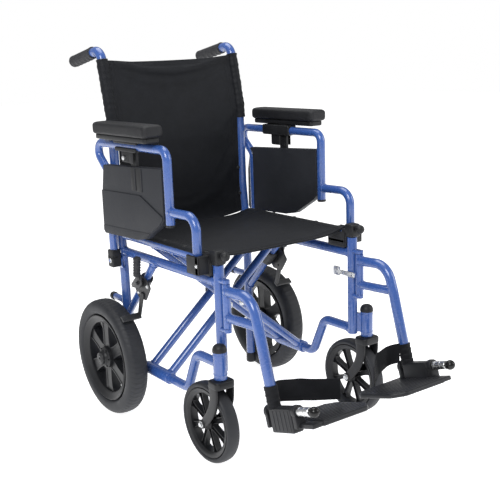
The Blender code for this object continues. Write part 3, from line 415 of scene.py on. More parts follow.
for s, side in SIDES:
    x = s * FRAME_X
    lower = [(x, RAIL_END_Y, LOWER_RAIL_Z), (x, RISER_FOOT_Y, LOWER_RAIL_Z),
             (x, RISER_TOP_Y, LOWER_RAIL_FRONT_Z), (x, FRONT_POST_Y, LOWER_RAIL_FRONT_Z)]
    parts = [rod((x, FRONT_POST_Y, FRONT_POST_FOOT), (x, FRONT_POST_Y, FRONT_POST_TOP), TUBE_R, 32),
             rod((x, FRONT_POST_Y, UPPER_RAIL_Z), (x, RAIL_END_Y, UPPER_RAIL_Z), RAIL_R, 32),
             sweep(bent(lower, BEND_R, 9), RAIL_R, 32),
             rod((x, *BRACE_TOP), (x, *BRACE_FOOT), 0.0100, 28)]
    front, back = FRONT_POST_Y + WELD_GAP, -WELD_GAP
    welds = [(y, z, (0, 1, 0), RAIL_R) for y, z in (
        (front, UPPER_RAIL_Z), (back, UPPER_RAIL_Z), (back, LOWER_RAIL_Z), (front, LOWER_RAIL_FRONT_Z))]
    welds += [(BRACE_TOP[0] + 0.0115, BRACE_TOP[1] - 0.0124, BRACE_WAY, 0.0105),
              (-0.0105, BRACE_FOOT[1] + 0.0113, BRACE_WAY, 0.0105)]
    parts += [ring((x, y, z), way, r + 0.0002, WELD_R) for y, z, way, r in welds]
    for z, into in LUG_HEIGHTS:
        lug = [(x, HANGER_HINGE_Y - 0.0015, z), (x, FRONT_POST_Y, z)]
        turn = np.linspace(0, 2 * math.pi, 33)
        flat = np.clip(np.sin(turn) * 0.009, -LUG_HALF, LUG_HALF)
        section = np.column_stack([np.cos(turn) * LUG_R, flat])
        parts.append(sweep(np.linspace(*np.array(lug), 4), 1.0, section=section))
        pin = [(x, HANGER_HINGE_Y, z + into * reach) for reach in (-0.004, 0.018)]
        eye = [(x, HANGER_HINGE_Y, z + reach) for reach in (-0.0046, 0.0046)]
        parts += [rod(*pin, 0.0038), rod(*eye, LUG_R, 28)]
    piece(f"side_frame_tubes_{side}", parts, ENAMEL, f"frame_{side}", [f"side_frame_{side}"])

# ------------------------------------------------------------------ push grips
# Soft rubber grips pushed onto the handles: a collar in front, lengthwise ribs over the top,
# four finger teeth below and a domed end.
GRIP_START_Y = 0.088
GRIP_R = 0.0150
GRIP_TEETH = 4


def rubber(name, tone, rough=0.62, grain=700.0):
    """Soft black rubber: dull, slightly chalky in patches, with a fine moulded skin."""
    look = Look(name)
    chalk = look.ramp(look.noise(26.0, 6.0, 0.65), (0.42, 0.0), (0.78, 1.0))
    skin = look.noise(grain, 3.0, 0.6)
    streak = look.ramp(look.noise(110.0, 2.0), (0.5, 0.0), (0.8, 1.0))
    colour = look.mix(chalk * 0.55, tone, tuple(shade * 1.7 + 0.010 for shade in tone))
    colour = look.mix(streak * 0.12, colour, (0.16, 0.16, 0.17))
    return look.coat(Base_Color=colour, Roughness=chalk * 0.14 + rough, Specular_IOR_Level=0.35,
                     Normal=look.bump(skin + streak * 0.3, 0.40, 0.0003))


GRIP_RUBBER = rubber("grip rubber", (0.016, 0.0168, 0.020))


def push_grip(s):
    """Radius by length and angle: collar, fading ribs, teeth underneath and a domed end."""
    start, end = np.array(HANDLE_CORNER), np.array(HANDLE_END)
    along = (end - start) / np.linalg.norm(end - start)
    front = start + along * (GRIP_START_Y - HANDLE_CORNER[0]) / along[0]
    length = np.linalg.norm(end - front) + 0.007
    rounded = 0.96 + 0.04 * np.sin(np.linspace(0, math.pi / 2, 9))[1:]
    share = np.concatenate([np.linspace(0, 0.96, 110), rounded])
    turn = np.linspace(0, 2 * math.pi, 73)
    t, a = np.meshgrid(share, turn, indexing="ij")
    down = np.clip(-np.sin(a), 0, 1) ** 1.5
    collar = 0.0011 * np.exp(-((t - 0.03) / 0.03) ** 4) + 0.0007 * np.exp(-((t - 0.93) / 0.03) ** 4)
    body = np.clip((t - 0.08) / 0.04, 0, 1) * np.clip((0.88 - t) / 0.04, 0, 1)
    ribs = 0.00045 * np.cos(a * 18) * body * (1 - down)
    tooth = np.cos((t - 0.16) / 0.68 * GRIP_TEETH * 2 * math.pi)
    teeth = 0.0019 * np.clip(tooth, -0.25, 1) * down * body
    dome = np.sqrt(np.clip(1 - np.clip((t - 0.955) / 0.045, 0, 1) ** 2, 0, 1))
    mouth = np.clip(t / 0.008, 0, 1) * 0.10 + 0.90
    r = (GRIP_R + collar + ribs + teeth) * dome * mouth
    up = np.array([-along[1], along[0]])
    y = front[0] + along[0] * t * length + up[0] * np.sin(a) * r
    z = front[1] + along[1] * t * length + up[1] * np.sin(a) * r
    x = s * FRAME_X + np.cos(a) * r
    face = np.broadcast_to([s * FRAME_X, *front], (1, len(turn), 3))
    return grid(np.concatenate([face, np.stack([x, y, z], 2)]))


for s, side in SIDES:
    piece(f"grip_{side}", [push_grip(s)], GRIP_RUBBER, f"frame_{side}", [f"push_grip_{side}"], 50)

# ------------------------------------------------------------------ rear wheels
# Black nylon wheel moulded in one: deep rim, six broad dished spokes and a hub with a bolted ring.
# The puncture-proof tyre is grey-black, smooth on its wall, with a block tread on its crown.
REAR_R = 0.159
REAR_X = 0.2655
REAR_TYRE_HALF = 0.0290
REAR_BEAD_R = 0.115
REAR_SPOKES = 6
TREAD_BLOCKS = 66
REAR_RIM = [(0.1142, 0.0180), (0.1147, 0.0225), (0.1175, 0.0235), (0.1185, 0.0250), (0.1168, 0.0262),
            (0.1135, 0.0250), (0.1085, 0.0215), (0.1010, 0.0190), (0.0975, 0.0165)]
REAR_BARREL = [(0.0070, 0.0300), (0.0180, 0.0300), (0.0195, 0.0288), (0.0215, 0.0240),
               (0.0275, 0.0225), (0.0295, 0.0205), (0.0300, 0.0), (0.0295, -0.0205), (0.0215, -0.0240),
               (0.0195, -0.0288), (0.0180, -0.0300), (0.0070, -0.0300)]
HUB_CAP = [(0.0, 0.0375), (0.0045, 0.0375), (0.0055, 0.0368), (0.0065, 0.0375), (0.0110, 0.0372),
           (0.0122, 0.0364), (0.0132, 0.0370), (0.0160, 0.0362), (0.0172, 0.0345), (0.0176, 0.0296)]
AXLE_BOLT_R = 0.0060
AXLE_SPACER_R = 0.0100
NUT_R = 0.0095

WHEEL_NYLON = moulded("black wheel nylon", (0.008, 0.0085, 0.010), 620.0, 0.38, 0.0002, 0.5)


def tyre_look():
    """Grey-black tyre: a lighter dusty crown, faint rings on the wall, mould speckle."""
    look = Look("tyre rubber")
    dust = look.ramp(look.noise(34.0, 7.0, 0.6), (0.38, 0.0), (0.80, 1.0))
    speckle = look.noise(900.0, 2.0, 0.5)
    bloom = look.noise(5.0, 3.0)
    colour = look.mix(bloom, (0.0120, 0.0130, 0.0160), (0.0200, 0.0215, 0.0260))
    colour = look.mix(dust * 0.18, colour, (0.060, 0.061, 0.064))
    return look.coat(Base_Color=colour, Roughness=dust * 0.15 + 0.52, Specular_IOR_Level=0.34,
                     Normal=look.bump(speckle + dust * 0.5, 0.35, 0.0003))


TYRE_RUBBER = tyre_look()


def lathe(profile, centre, around=96, swell=None):
    """A closed profile of (radius, x) turned round the X axis; swell adds to the radius."""
    profile = np.asarray([*profile, profile[0]], float)
    turn = np.linspace(0, 2 * math.pi, around + 1)
    r, x = np.broadcast_to(profile[None, :, 0], (around + 1, len(profile))), profile[None, :, 1]
    if swell is not None:
        r = r + swell(turn[:, None], profile[None, :, 0], profile[None, :, 1])
    y, z = centre[1] + r * np.cos(turn)[:, None], centre[2] + r * np.sin(turn)[:, None]
    return grid(np.stack([centre[0] + x + 0 * r, y, z], 2))


def both_faces(half, waist, floor):
    """A rim's closed profile: its outer half, mirrored, with the middle of its waist and floor."""
    return [*half, (waist, 0.0), *[(r, -x) for r, x in half[::-1]], (floor, 0.0)]


def squared(wave, power):
    """A sine or cosine pushed outwards, which turns a circle into a rounded square."""
    return np.sign(wave) * np.abs(wave) ** power


def tyre_section(bead, tread, half, steps=44):
    """A squashed-circle section: nearly flat at the bead, full at the shoulders, round on top."""
    turn = np.linspace(-math.pi, math.pi, steps, endpoint=False)
    middle, high = (bead + tread) / 2, (tread - bead) / 2
    return np.stack([middle + high * squared(np.cos(turn), 0.82),
                     half * squared(np.sin(turn), 0.75)], 1)


def rear_tyre_relief(turn, r, x):
    """A zigzag centre rib, cross cuts at the shoulders and two fine rings on the wall."""
    crown = np.clip((r - REAR_R + 0.0090) / 0.0030, 0, 1)
    zigzag = np.abs(((turn * TREAD_BLOCKS / (2 * math.pi)) % 1.0) - 0.5) * 2
    rib = np.abs(x) - 0.0052 - 0.0022 * zigzag
    groove = np.exp(-(rib / 0.0011) ** 4)
    lean = turn * TREAD_BLOCKS + np.sign(x) * 1.5 + np.abs(x) * 180.0
    cuts = (np.sin(lean) > 0.62) * (np.abs(x) > 0.0085)
    ridge = np.exp(-((r - 0.139) / 0.0009) ** 2) + np.exp(-((r - 0.1215) / 0.0008) ** 2)
    return 0.0006 * ridge - 0.0013 * crown * np.maximum(groove, 0.6 * cuts)


def caster_tyre_relief(turn, r, x):
    """Two fine moulding grooves round the crown."""
    groove = np.exp(-((np.abs(x) - 0.0085) / 0.0007) ** 2) * (r > 0.092)
    return 0.0 * turn - 0.0008 * groove


def dished_spoke(centre, out, angle, root, tip, half_root, half_tip, depth, web):
    """One broad spoke: a thin web with a raised rib along each edge, wide at both ends."""
    share = np.linspace(0, 1, 15)
    r = root + (tip - root) * share
    half = half_root + (half_tip - half_root) * share - 0.22 * half_root * np.sin(share * math.pi)
    half = half + 0.0045 * np.clip((share - 0.8) / 0.2, 0, 1) ** 2
    half = half + 0.003 * np.clip((0.15 - share) / 0.15, 0, 1)
    front = [(-1, 1), (-0.80, 1), (-0.72, web), (0.72, web), (0.80, 1), (1, 1)]
    outline = [(-1, 0), *front, (1, 0), *[(at, -high) for at, high in front[::-1]], (-1, 0)]
    across, face = np.array(outline, float).T
    radial = np.array([0.0, math.cos(angle), math.sin(angle)])
    sideways = np.array([0.0, -math.sin(angle), math.cos(angle)])
    rows = np.asarray(centre)[None, None] + r[:, None, None] * radial
    rows = rows + (half[:, None] * across[None])[..., None] * sideways
    rows = rows + (face * depth)[None, :, None] * np.array([out, 0.0, 0.0])
    root_end, tip_end = (0 * end + end.mean(1, keepdims=True) for end in (rows[:1], rows[-1:]))
    return grid(np.concatenate([root_end, rows, tip_end]))


STEEL_TONE = (0.58, 0.59, 0.60)


def zinc():
    """Bright zinc-plated steel: turning marks, soft clouding and a little grime."""
    look = Look("zinc-plated steel")
    cloud = look.noise(70.0, 4.0)
    grime = look.ramp(look.noise(190.0, 5.0), (0.52, 0.0), (0.72, 1.0))
    scratch = look.noise(2600.0, 1.0)
    colour = look.mix(cloud, STEEL_TONE, (0.72, 0.73, 0.74))
    colour = look.mix(grime * 0.35, colour, (0.20, 0.19, 0.18))
    return look.coat(Base_Color=colour, Metallic=1.0 - grime * 0.4,
                     Roughness=cloud * 0.16 + grime * 0.2 + 0.18,
                     Normal=look.bump(scratch + cloud, 0.12, 0.0002))


ZINC = zinc()


def hexagon(place, way, across, high):
    """A chamfered hexagon head on a turned washer, standing along an axis."""
    place, way = np.asarray(place, float), np.asarray(way, float)
    side = np.eye(3)[int(np.argmin(np.abs(way)))]
    washer = place + way * high * np.array([[0.0], [0.10], [0.22]])
    head = place + way * high * np.array([[0.15], [0.6], [1.0]])
    return [sweep(washer, across * 1.30, 28, side, 0.0003), sweep(head, across, 6, side, across * 0.10)]


for s, side in SIDES:
    hub = (s * REAR_X, 0.0, REAR_AXLE_Z)
    tyre = tyre_section(REAR_BEAD_R, REAR_R, REAR_TYRE_HALF)
    piece(f"tyre_rear_{side}", [lathe(tyre, hub, 528, rear_tyre_relief)], TYRE_RUBBER,
          f"rear_wheel_{side}", [f"rear_tyre_{side}"], 32)
    parts = [lathe(both_faces(REAR_RIM, 0.0965, 0.1130), hub, 144), lathe(REAR_BARREL, hub, 96)]
    for i in range(REAR_SPOKES):
        angle = 2 * math.pi * (i + 0.5) / REAR_SPOKES
        parts.append(dished_spoke(hub, s, angle, 0.022, 0.1030, 0.0175, 0.0200, 0.0130, 0.88))
    for r, x, thick in ((0.0225, 0.0240, 0.0009), (0.0165, 0.0300, 0.0008)):
        parts.append(ring((hub[0] + s * x, hub[1], hub[2]), (1, 0, 0), r, thick, 3))
    piece(f"rim_rear_{side}", parts, WHEEL_NYLON, f"rear_wheel_{side}", [f"rear_rim_{side}"], 35)
    bolts = []
    for i in range(6):
        angle = 2 * math.pi * i / 6
        place = np.add(hub, (s * 0.0223, 0.0252 * math.cos(angle), 0.0252 * math.sin(angle)))
        bolts += hexagon(place, (s, 0, 0), 0.0024, 0.0028)
    piece(f"hub_ring_bolts_{side}", bolts, BLACK_PLASTIC, f"rear_wheel_{side}")
    piece(f"hub_cap_{side}", [lathe([(r, s * x) for r, x in HUB_CAP], hub, 64)], WHEEL_NYLON,
          f"rear_wheel_{side}")
    out = np.array([s, 0.0, 0.0])

    def on_axle(x):
        return np.array([s * x, 0.0, REAR_AXLE_Z])

    axle = [rod(on_axle(0.1890), on_axle(REAR_X + 0.034), AXLE_BOLT_R, 24),
            rod(on_axle(FRAME_X + 0.0128), on_axle(REAR_X - 0.0303), AXLE_SPACER_R, 28),
            *hexagon(on_axle(REAR_X + 0.0303), out, NUT_R, 0.0066),
            *hexagon(on_axle(0.1942), -out, NUT_R, 0.0080)]
    piece(f"axle_rear_{side}", axle, ZINC, f"frame_{side}", [f"rear_axle_{side}"])

# ------------------------------------------------------------------ casters
# A blue swivel housing welded to the front post, with a black dust cap on top. Below it turns a
# black nylon fork with two curved legs, and between them a 200 mm wheel with eight thin spokes.
CASTER_X = 0.232
CASTER_Y = -0.428
CASTER_R = 0.100
CASTER_BEAD_R = 0.084
STEM_Y = -0.479
HOUSING_R = 0.0160
HOUSING_FOOT = 0.2235
HOUSING_TOP = 0.2960
CROWN_TOP = 0.2222
CASTER_SPOKES = 8
CASTER_RIM = [(0.0838, 0.0135), (0.0858, 0.0145), (0.0850, 0.0160), (0.0800, 0.0150),
              (0.0745, 0.0125), (0.0722, 0.0100)]
CASTER_BARREL = [(0.0055, 0.0190), (0.0120, 0.0190), (0.0135, 0.0175), (0.0150, 0.0120),
                 (0.0170, 0.0095)]
CASTER_BARREL += [(r, -x) for r, x in CASTER_BARREL[::-1]]


def inset(outline, gap):
    """A closed outline moved inwards by the gap, each corner along its bisector."""
    outline = np.asarray(outline, float)
    before, after = outline - np.roll(outline, 1, 0), np.roll(outline, -1, 0) - outline
    before /= np.linalg.norm(before, axis=1)[:, None]
    after /= np.linalg.norm(after, axis=1)[:, None]
    following = np.roll(outline, -1, 0)
    area = np.sum(outline[:, 0] * following[:, 1] - outline[:, 1] * following[:, 0])
    one = np.stack([-before[:, 1], before[:, 0]], 1) * np.sign(area)
    two = np.stack([-after[:, 1], after[:, 0]], 1) * np.sign(area)
    middle = one + two
    return outline + middle / np.maximum(np.sum(middle * one, 1), 0.4)[:, None] * gap


def soft_corners(corners, radius, steps=5):
    """A closed outline whose corners are arcs; radius is one number or one for each corner."""
    corners = np.asarray(corners, float)
    radius = np.broadcast_to(radius, len(corners))
    path = []
    neighbours = zip(np.roll(corners, 1, 0), corners, np.roll(corners, -1, 0), radius)
    for before, corner, after, r in neighbours:
        back, on = before - corner, after - corner
        back, on = back / np.linalg.norm(back), on / np.linalg.norm(on)
        half = math.acos(max(-1.0, min(1.0, float(back @ on)))) / 2
        reach = r / math.tan(half)
        if r < 1e-6 or half > 1.55:
            path.append(corner)
            continue
        share = np.linspace(0, 1, steps + 1)[:, None]
        # a quadratic curve from one tangent point to the other, near enough to the arc
        start, end = corner + back * reach, corner + on * reach
        path += list((1 - share) ** 2 * start + 2 * share * (1 - share) * corner + share ** 2 * end)
    return np.array(path)


def plate(outline, low, high, edge=0.001, across=0, steps=3):
    """A flat plate with rounded rims: an outline stood across an axis, from low to high on it."""
    turn = np.linspace(0, math.pi / 2, steps + 1)
    low, high = min(low, high), max(low, high)
    levels = [(edge * (1 - math.sin(t)), low + edge * (1 - math.cos(t))) for t in turn]
    levels += [(edge * (1 - math.sin(t)), high - edge * (1 - math.cos(t))) for t in turn[::-1]]
    rows = []
    for gap, at in levels:
        shape = inset(outline, gap) if gap > 0 else np.asarray(outline, float)
        rows.append(np.insert(shape, across, at, axis=1))
    rows = np.array(rows)
    return [grid(np.concatenate([rows, rows[:, :1]], 1)), grid(rows[0]), grid(rows[-1])]


def rectangle(left, right, low, high):
    """The four corners of a rectangle, in order."""
    return [(left, low), (right, low), (right, high), (left, high)]


def block(low, high, edge=0.002, corner=None, across=0):
    """A moulded block between two corners, rounded on every edge."""
    low, high = np.minimum(low, high), np.maximum(low, high)
    one, two = [axis for axis in range(3) if axis != across]
    outline = soft_corners(rectangle(low[one], high[one], low[two], high[two]), corner or edge * 1.6)
    return plate(outline, low[across], high[across], edge, across)


def side_blocks(s, *rows):
    """Blocks of one side: rows of low corner, high corner, edge and corner, x positive outwards."""
    surfaces = []
    for low, high, *rounding in rows:
        surfaces += block((s * low[0], *low[1:]), (s * high[0], *high[1:]), *rounding)
    return surfaces


def turned_about_x(surfaces, angle, place):
    """Surfaces turned about the X direction through a place."""
    spin = np.array(Matrix.Rotation(angle, 3, "X"))
    place = np.asarray(place, float)
    return [((rows - place) @ spin.T + place, stretch) for rows, stretch in surfaces]


def fork_leg(x, out, crown_z):
    """One leg: an oval bar that bows forwards from the crown and ends in a round boss."""
    route = [(STEM_Y + 0.002, crown_z), (STEM_Y - 0.006, 0.186), (STEM_Y - 0.004, 0.160),
             (STEM_Y + 0.012, 0.132), (CASTER_Y - 0.010, 0.108), (CASTER_Y, CASTER_R)]
    share = np.linspace(0, 1, 34)
    knots = np.linspace(0, 1, len(route))
    order = len(route) - 1
    curve = sum((math.comb(order, i) * share ** i * (1 - share) ** (order - i))[:, None] * np.array(p)
                for i, p in enumerate(route))
    path = np.column_stack([np.full(len(share), x + out * 0.0232), curve])
    wide = np.interp(share, knots, [0.0175, 0.0155, 0.0142, 0.0130, 0.0118, 0.0100])
    turn = np.linspace(0, 2 * math.pi, 29)
    oval = np.stack([0.20 * squared(np.cos(turn), 0.6), squared(np.sin(turn), 0.7)], 1)
    return sweep(path, wide, section=oval, edge=0.0012)


for s, side in SIDES:
    x = s * CASTER_X
    fork, wheel = f"fork_{side}", f"caster_wheel_{side}"

    def stem(low, high, radius, around=40, edge=0.0008):
        return rod((x, STEM_Y, low), (x, STEM_Y, high), radius, around, edge)

    parts = [stem(HOUSING_FOOT, HOUSING_TOP, HOUSING_R, 40, 0.001)]
    parts += [stem(level - 0.0016, level + 0.0016, HOUSING_R + 0.0006) for level in (0.2365, 0.2830)]
    bridge = np.array([(s * (FRAME_X + 0.004), FRONT_POST_Y + 0.002),
                       (x - s * 0.006, STEM_Y + 0.004)])
    lean = (bridge[1] - bridge[0]) / np.linalg.norm(bridge[1] - bridge[0])
    thick = np.array([-lean[1], lean[0]]) * 0.0065
    web = [bridge[0] - thick, bridge[1] - thick, bridge[1] + thick, bridge[0] + thick]
    parts += plate(web, 0.2350, 0.2845, 0.0012, 2)
    piece(f"swivel_housing_{side}", parts, ENAMEL, f"frame_{side}", [f"caster_housing_{side}"])
    dome = np.linspace(0, math.pi / 2, 10)
    heights = HOUSING_TOP + np.concatenate([[-0.006, 0.0], 0.0125 * np.sin(dome)[1:]])
    widths = np.concatenate([[0.0170, 0.0170], 0.0165 * np.cos(dome)[1:] ** 0.8])
    cap = sweep(np.column_stack([np.full(11, x), np.full(11, STEM_Y), heights]), widths, 40)
    piece(f"housing_cap_{side}", [cap], BLACK_PLASTIC, f"frame_{side}")
    bearing = [stem(HOUSING_FOOT - 0.0008, HOUSING_FOOT + 0.002, 0.0145, 36, 0.0006)]
    piece(f"swivel_bearing_{side}", bearing, ZINC, f"frame_{side}")

    hub = np.array((x, CASTER_Y, CASTER_R))
    across = np.array([1.0, 0.0, 0.0])
    crown = rectangle(x - 0.0270, x + 0.0270, STEM_Y - 0.0225, STEM_Y + 0.0200)
    parts = plate(soft_corners(crown, 0.012, 8), 0.2030, CROWN_TOP, 0.0045, 2, 5)
    for out in (-1, 1):
        parts.append(fork_leg(x, out, 0.2140))
        boss = [hub + across * out * reach for reach in (0.0195, 0.0270)]
        parts.append(rod(*boss, 0.0112, 32, 0.0012))
    parts.append(stem(CROWN_TOP - 0.0007, 0.2300, 0.0070, 24))
    piece(f"fork_moulding_{side}", parts, WHEEL_NYLON, fork, [f"caster_fork_{side}"])
    metal = [rod(hub - across * 0.0280, hub + across * 0.0280, 0.0040, 20)]
    for out in (-1, 1):
        metal += hexagon(hub + across * out * 0.0271, (out, 0, 0), 0.0058, 0.0050)
    metal.append(stem(0.2000, 0.2040, 0.0090, 6))
    piece(f"fork_bolts_{side}", metal, ZINC, fork)

    section = tyre_section(CASTER_BEAD_R, CASTER_R, 0.0170, 36)
    piece(f"tyre_caster_{side}", [lathe(section, hub, 160, caster_tyre_relief)], TYRE_RUBBER, wheel,
          [f"caster_tyre_{side}"], 40)
    parts = [lathe(both_faces(CASTER_RIM, 0.0715, 0.0834), hub, 112), lathe(CASTER_BARREL, hub, 64)]
    for i in range(CASTER_SPOKES):
        angle = 2 * math.pi * (i + 0.5) / CASTER_SPOKES
        parts.append(dished_spoke(hub, s, angle, 0.013, 0.0750, 0.0062, 0.0078, 0.0075, 0.40))
    piece(f"rim_caster_{side}", parts, WHEEL_NYLON, wheel, [f"caster_rim_{side}"], 35)

# ------------------------------------------------------------------ armrests
# A bent blue tube pivots on a black socket behind and plugs into a receiver in front. It frames a
# grained side panel, and a clasp on its top bar lets the pad's stem slide and locks it by a button.
ARM_X = 0.237
ARM_R = 0.0110
ARM_TOP_Z = 0.737
ARM_BEND_Z = 0.6636
ARM_TOP_BACK_Y = 0.077
ARM_FRONT_Y = -0.304
ARM_BRANCH_Y = -0.4145
ARM_BRANCH_FOOT = 0.466
BUTTON_PLACE = (-0.119, 0.708)
STEM_SLIDE_Y = -0.150
PANEL_GREY = moulded("grained side panel", (0.0170, 0.0185, 0.0230), 1300.0, 0.60, 0.0003, 0.25)
PANEL_OUTLINE = [(-0.001, 0.6815), (-0.142, 0.6875), (-0.292, 0.6945), (-0.292, 0.5715),
                 (-0.277, 0.5575), (-0.200, 0.5125), (-0.158, 0.5045), (0.008, 0.4985),
                 (0.016, 0.5075), (0.013, 0.6175)]
PANEL_FOOT = [(-0.199, 0.5135), (-0.157, 0.5060), (0.007, 0.5000)]
PANEL_LOWER = [(0.0125, 0.6150), (-0.188, 0.6205), (-0.2900, 0.5790), (-0.2900, 0.5725),
               (-0.276, 0.5590), *PANEL_FOOT, (0.0150, 0.5080)]
PANEL_SKIRT = [(0.0145, 0.5215), (-0.175, 0.5290), (-0.232, 0.5320), *PANEL_FOOT, (0.0148, 0.5080)]
ARM_FRONT_FOOT = 0.557
BRANCH_Z = 0.594
PANEL_LAYERS = ((PANEL_OUTLINE, 0.004, 0.2292, 0.2485, 0.0018),
                (PANEL_LOWER, 0.003, 0.2480, 0.2512, 0.0010),
                (PANEL_SKIRT, 0.003, 0.2505, 0.2520, 0.0006))
PANEL_RIBS = (((0.2480, -0.170, 0.6300), (0.2503, -0.166, 0.6860), 0.0008),
              ((0.2480, -0.200, 0.6300), (0.2503, -0.197, 0.6870), 0.0008))
# painted shade: thin dark sheets laid flush on the panel where its two slots are, standing in for the
# shade inside them
PAINTED_SLOT_SHADE = (((0.2483, -0.1640, 0.6290), (0.2488, -0.1470, 0.6865), 0.0002),
               ((0.2483, -0.1965, 0.6290), (0.2488, -0.1705, 0.6870), 0.0002))
CLASP_BLOCKS = (((0.2228, -0.186, 0.7240), (0.2450, -0.070, 0.7518), 0.003, 0.006),
                ((0.2300, -0.186, 0.7425), (0.2512, -0.070, 0.7518), 0.002, 0.003),
                ((0.2300, -0.180, 0.7235), (0.2512, -0.076, 0.7335), 0.002, 0.003),
                ((0.2280, -0.142, 0.6960), (0.2475, -0.103, 0.7280), 0.003, 0.005),
                ((0.2480, -0.164, 0.6965), (0.2495, -0.144, 0.7240), 0.0006, 0.002))

for s, side in SIDES:
    x = s * ARM_X
    py, pz = ARM_PIVOT
    arm = f"armrest_{side}"
    loop = [(x, py, pz + 0.0110), (x, py, ARM_BEND_Z), (x, ARM_TOP_BACK_Y, ARM_TOP_Z),
            (x, ARM_FRONT_Y, ARM_TOP_Z), (x, ARM_FRONT_Y, ARM_FRONT_FOOT)]
    branch = [(x, ARM_FRONT_Y + 0.004, BRANCH_Z - 0.002), (x, ARM_BRANCH_Y, BRANCH_Z),
              (x, ARM_BRANCH_Y, ARM_BRANCH_FOOT)]
    parts = [sweep(bent(loop, 0.024, 14), ARM_R, 32, edge=0.001),
             sweep(bent(branch, 0.034, 12), ARM_R, 32, edge=0.001),
             ring((x, ARM_FRONT_Y - 0.0112, BRANCH_Z - 0.0013), (0, 1, 0), ARM_R, 0.0013)]
    piece(f"arm_tube_{side}", parts, ENAMEL, arm, [f"armrest_frame_{side}"])
    foot = [(x, ARM_FRONT_Y, ARM_FRONT_FOOT + reach) for reach in (-0.0015, 0.0055)]
    piece(f"arm_tube_plug_{side}", [rod(*foot, 0.0116, 28, 0.002)], BLACK_PLASTIC, arm)

    socket = side_blocks(
        s, ((0.2246, py - 0.0140, pz - 0.018), (0.2500, py + 0.0140, pz + 0.030), 0.003, 0.006),
        ((0.2300, py - 0.0150, pz + 0.006), (0.2508, py + 0.0150, pz + 0.012), 0.001, 0.003))
    piece(f"pivot_socket_{side}", socket, BLACK_PLASTIC, arm, [f"arm_socket_{side}"])
    rivet = hexagon((s * 0.2500, py, pz), (s, 0, 0), 0.0050, 0.0022)
    piece(f"pivot_rivet_{side}", rivet, ZINC, arm)

    panel = []
    for outline, corner, inner, outer, edge in PANEL_LAYERS:
        panel += plate(soft_corners(outline, corner), s * inner, s * outer, edge)
    panel += side_blocks(s, *PANEL_RIBS)
    piece(f"panel_shell_{side}", panel, PANEL_GREY, arm, [f"side_panel_{side}"])
    # the slots are painted shade: dark sheets on the panel's face in place of openings
    piece(f"painted_slot_shade_{side}", side_blocks(s, *PAINTED_SLOT_SHADE), BLACK_PLASTIC, arm)

    clasp = side_blocks(s, *CLASP_BLOCKS)
    by, bz = BUTTON_PLACE
    clasp.append(ring((s * 0.2476, by, bz), (s, 0, 0), 0.0072, 0.0009, 3))
    piece(f"height_clasp_{side}", clasp, BLACK_PLASTIC, arm, [f"armrest_clasp_{side}"])
    button = [rod((s * 0.2445, by, bz), (s * 0.2535, by, bz), 0.0058, 32, 0.0014)]
    piece(f"height_button_{side}", button, ZINC, f"button_{side}", [f"armrest_button_{side}"])

# ------------------------------------------------------------------ arm pads
# Integral-skin foam pads: crowned on top, full at the edges, with a fine leather grain. Each sits
# in a black tray, whose flat stem slides down through the clasp to set the height.
PAD_X = 0.2535
PAD_HALF = 0.028
PAD_FRONT = -0.280
PAD_BACK = -0.013
PAD_LOW = 0.765
PAD_TOP = 0.796
PAD_ROUND = 0.055
TEETH = 9


def foam_skin():
    """Skinned foam: leather cells, soft creases, a duller top where arms rest."""
    look = Look("skinned foam")
    cells = look.node("ShaderNodeTexVoronoi", {"feature": "DISTANCE_TO_EDGE"},
                      Vector=look.place, Scale=520.0)
    crease = look.noise(130.0, 5.0, 0.6)
    worn = look.ramp(look.noise(11.0, 3.0), (0.42, 0.0), (0.68, 1.0))
    colour = look.mix(worn, (0.0075, 0.0080, 0.0100), (0.0140, 0.0148, 0.0175))
    valley = look.ramp(cells, (0.0, 0.0), (0.12, 1.0))
    return look.coat(Base_Color=look.mix(valley, (0.010, 0.010, 0.012), colour),
                     Roughness=worn * 0.12 + 0.50, Specular_IOR_Level=0.30,
                     Normal=look.bump(valley * 0.6 + crease, 0.45, 0.0004))


FOAM = foam_skin()


def arm_pad(s):
    """A squared section, slightly crowned on top and rounded over at both ends."""
    rounded = (1 - np.cos(np.linspace(0, math.pi / 2, 14))) * PAD_ROUND
    share = np.concatenate([rounded, np.linspace(0.06, 0.94, 44), 1 - rounded[::-1]])
    turn = np.linspace(0, 2 * math.pi, 65)
    end = np.minimum(share, 1 - share) / PAD_ROUND
    full = np.where(end < 1, np.sqrt(np.clip(1 - (1 - np.clip(end, 0, 1)) ** 2, 0, 1)), 1.0)
    t, a = np.meshgrid(share, turn, indexing="ij")
    f = full[:, None]
    middle, high = (PAD_LOW + PAD_TOP) / 2, (PAD_TOP - PAD_LOW) / 2
    wide = PAD_HALF * (0.62 + 0.38 * f)
    x = squared(np.cos(a), 0.32) * wide
    z = squared(np.sin(a), 0.42) * high * (0.45 + 0.55 * f)
    crown = np.where(np.sin(a) > 0, 0.0012 * (1 - (x / PAD_HALF) ** 2) - 0.0012, 0.0)
    y = PAD_FRONT + (PAD_BACK - PAD_FRONT) * t
    rows = np.stack([s * PAD_X + x, y, middle + z + crown], 2)
    front, back = (np.broadcast_to(rows[i].mean(0), (1, len(turn), 3)) for i in (0, -1))
    return grid(np.concatenate([front, rows, back]))


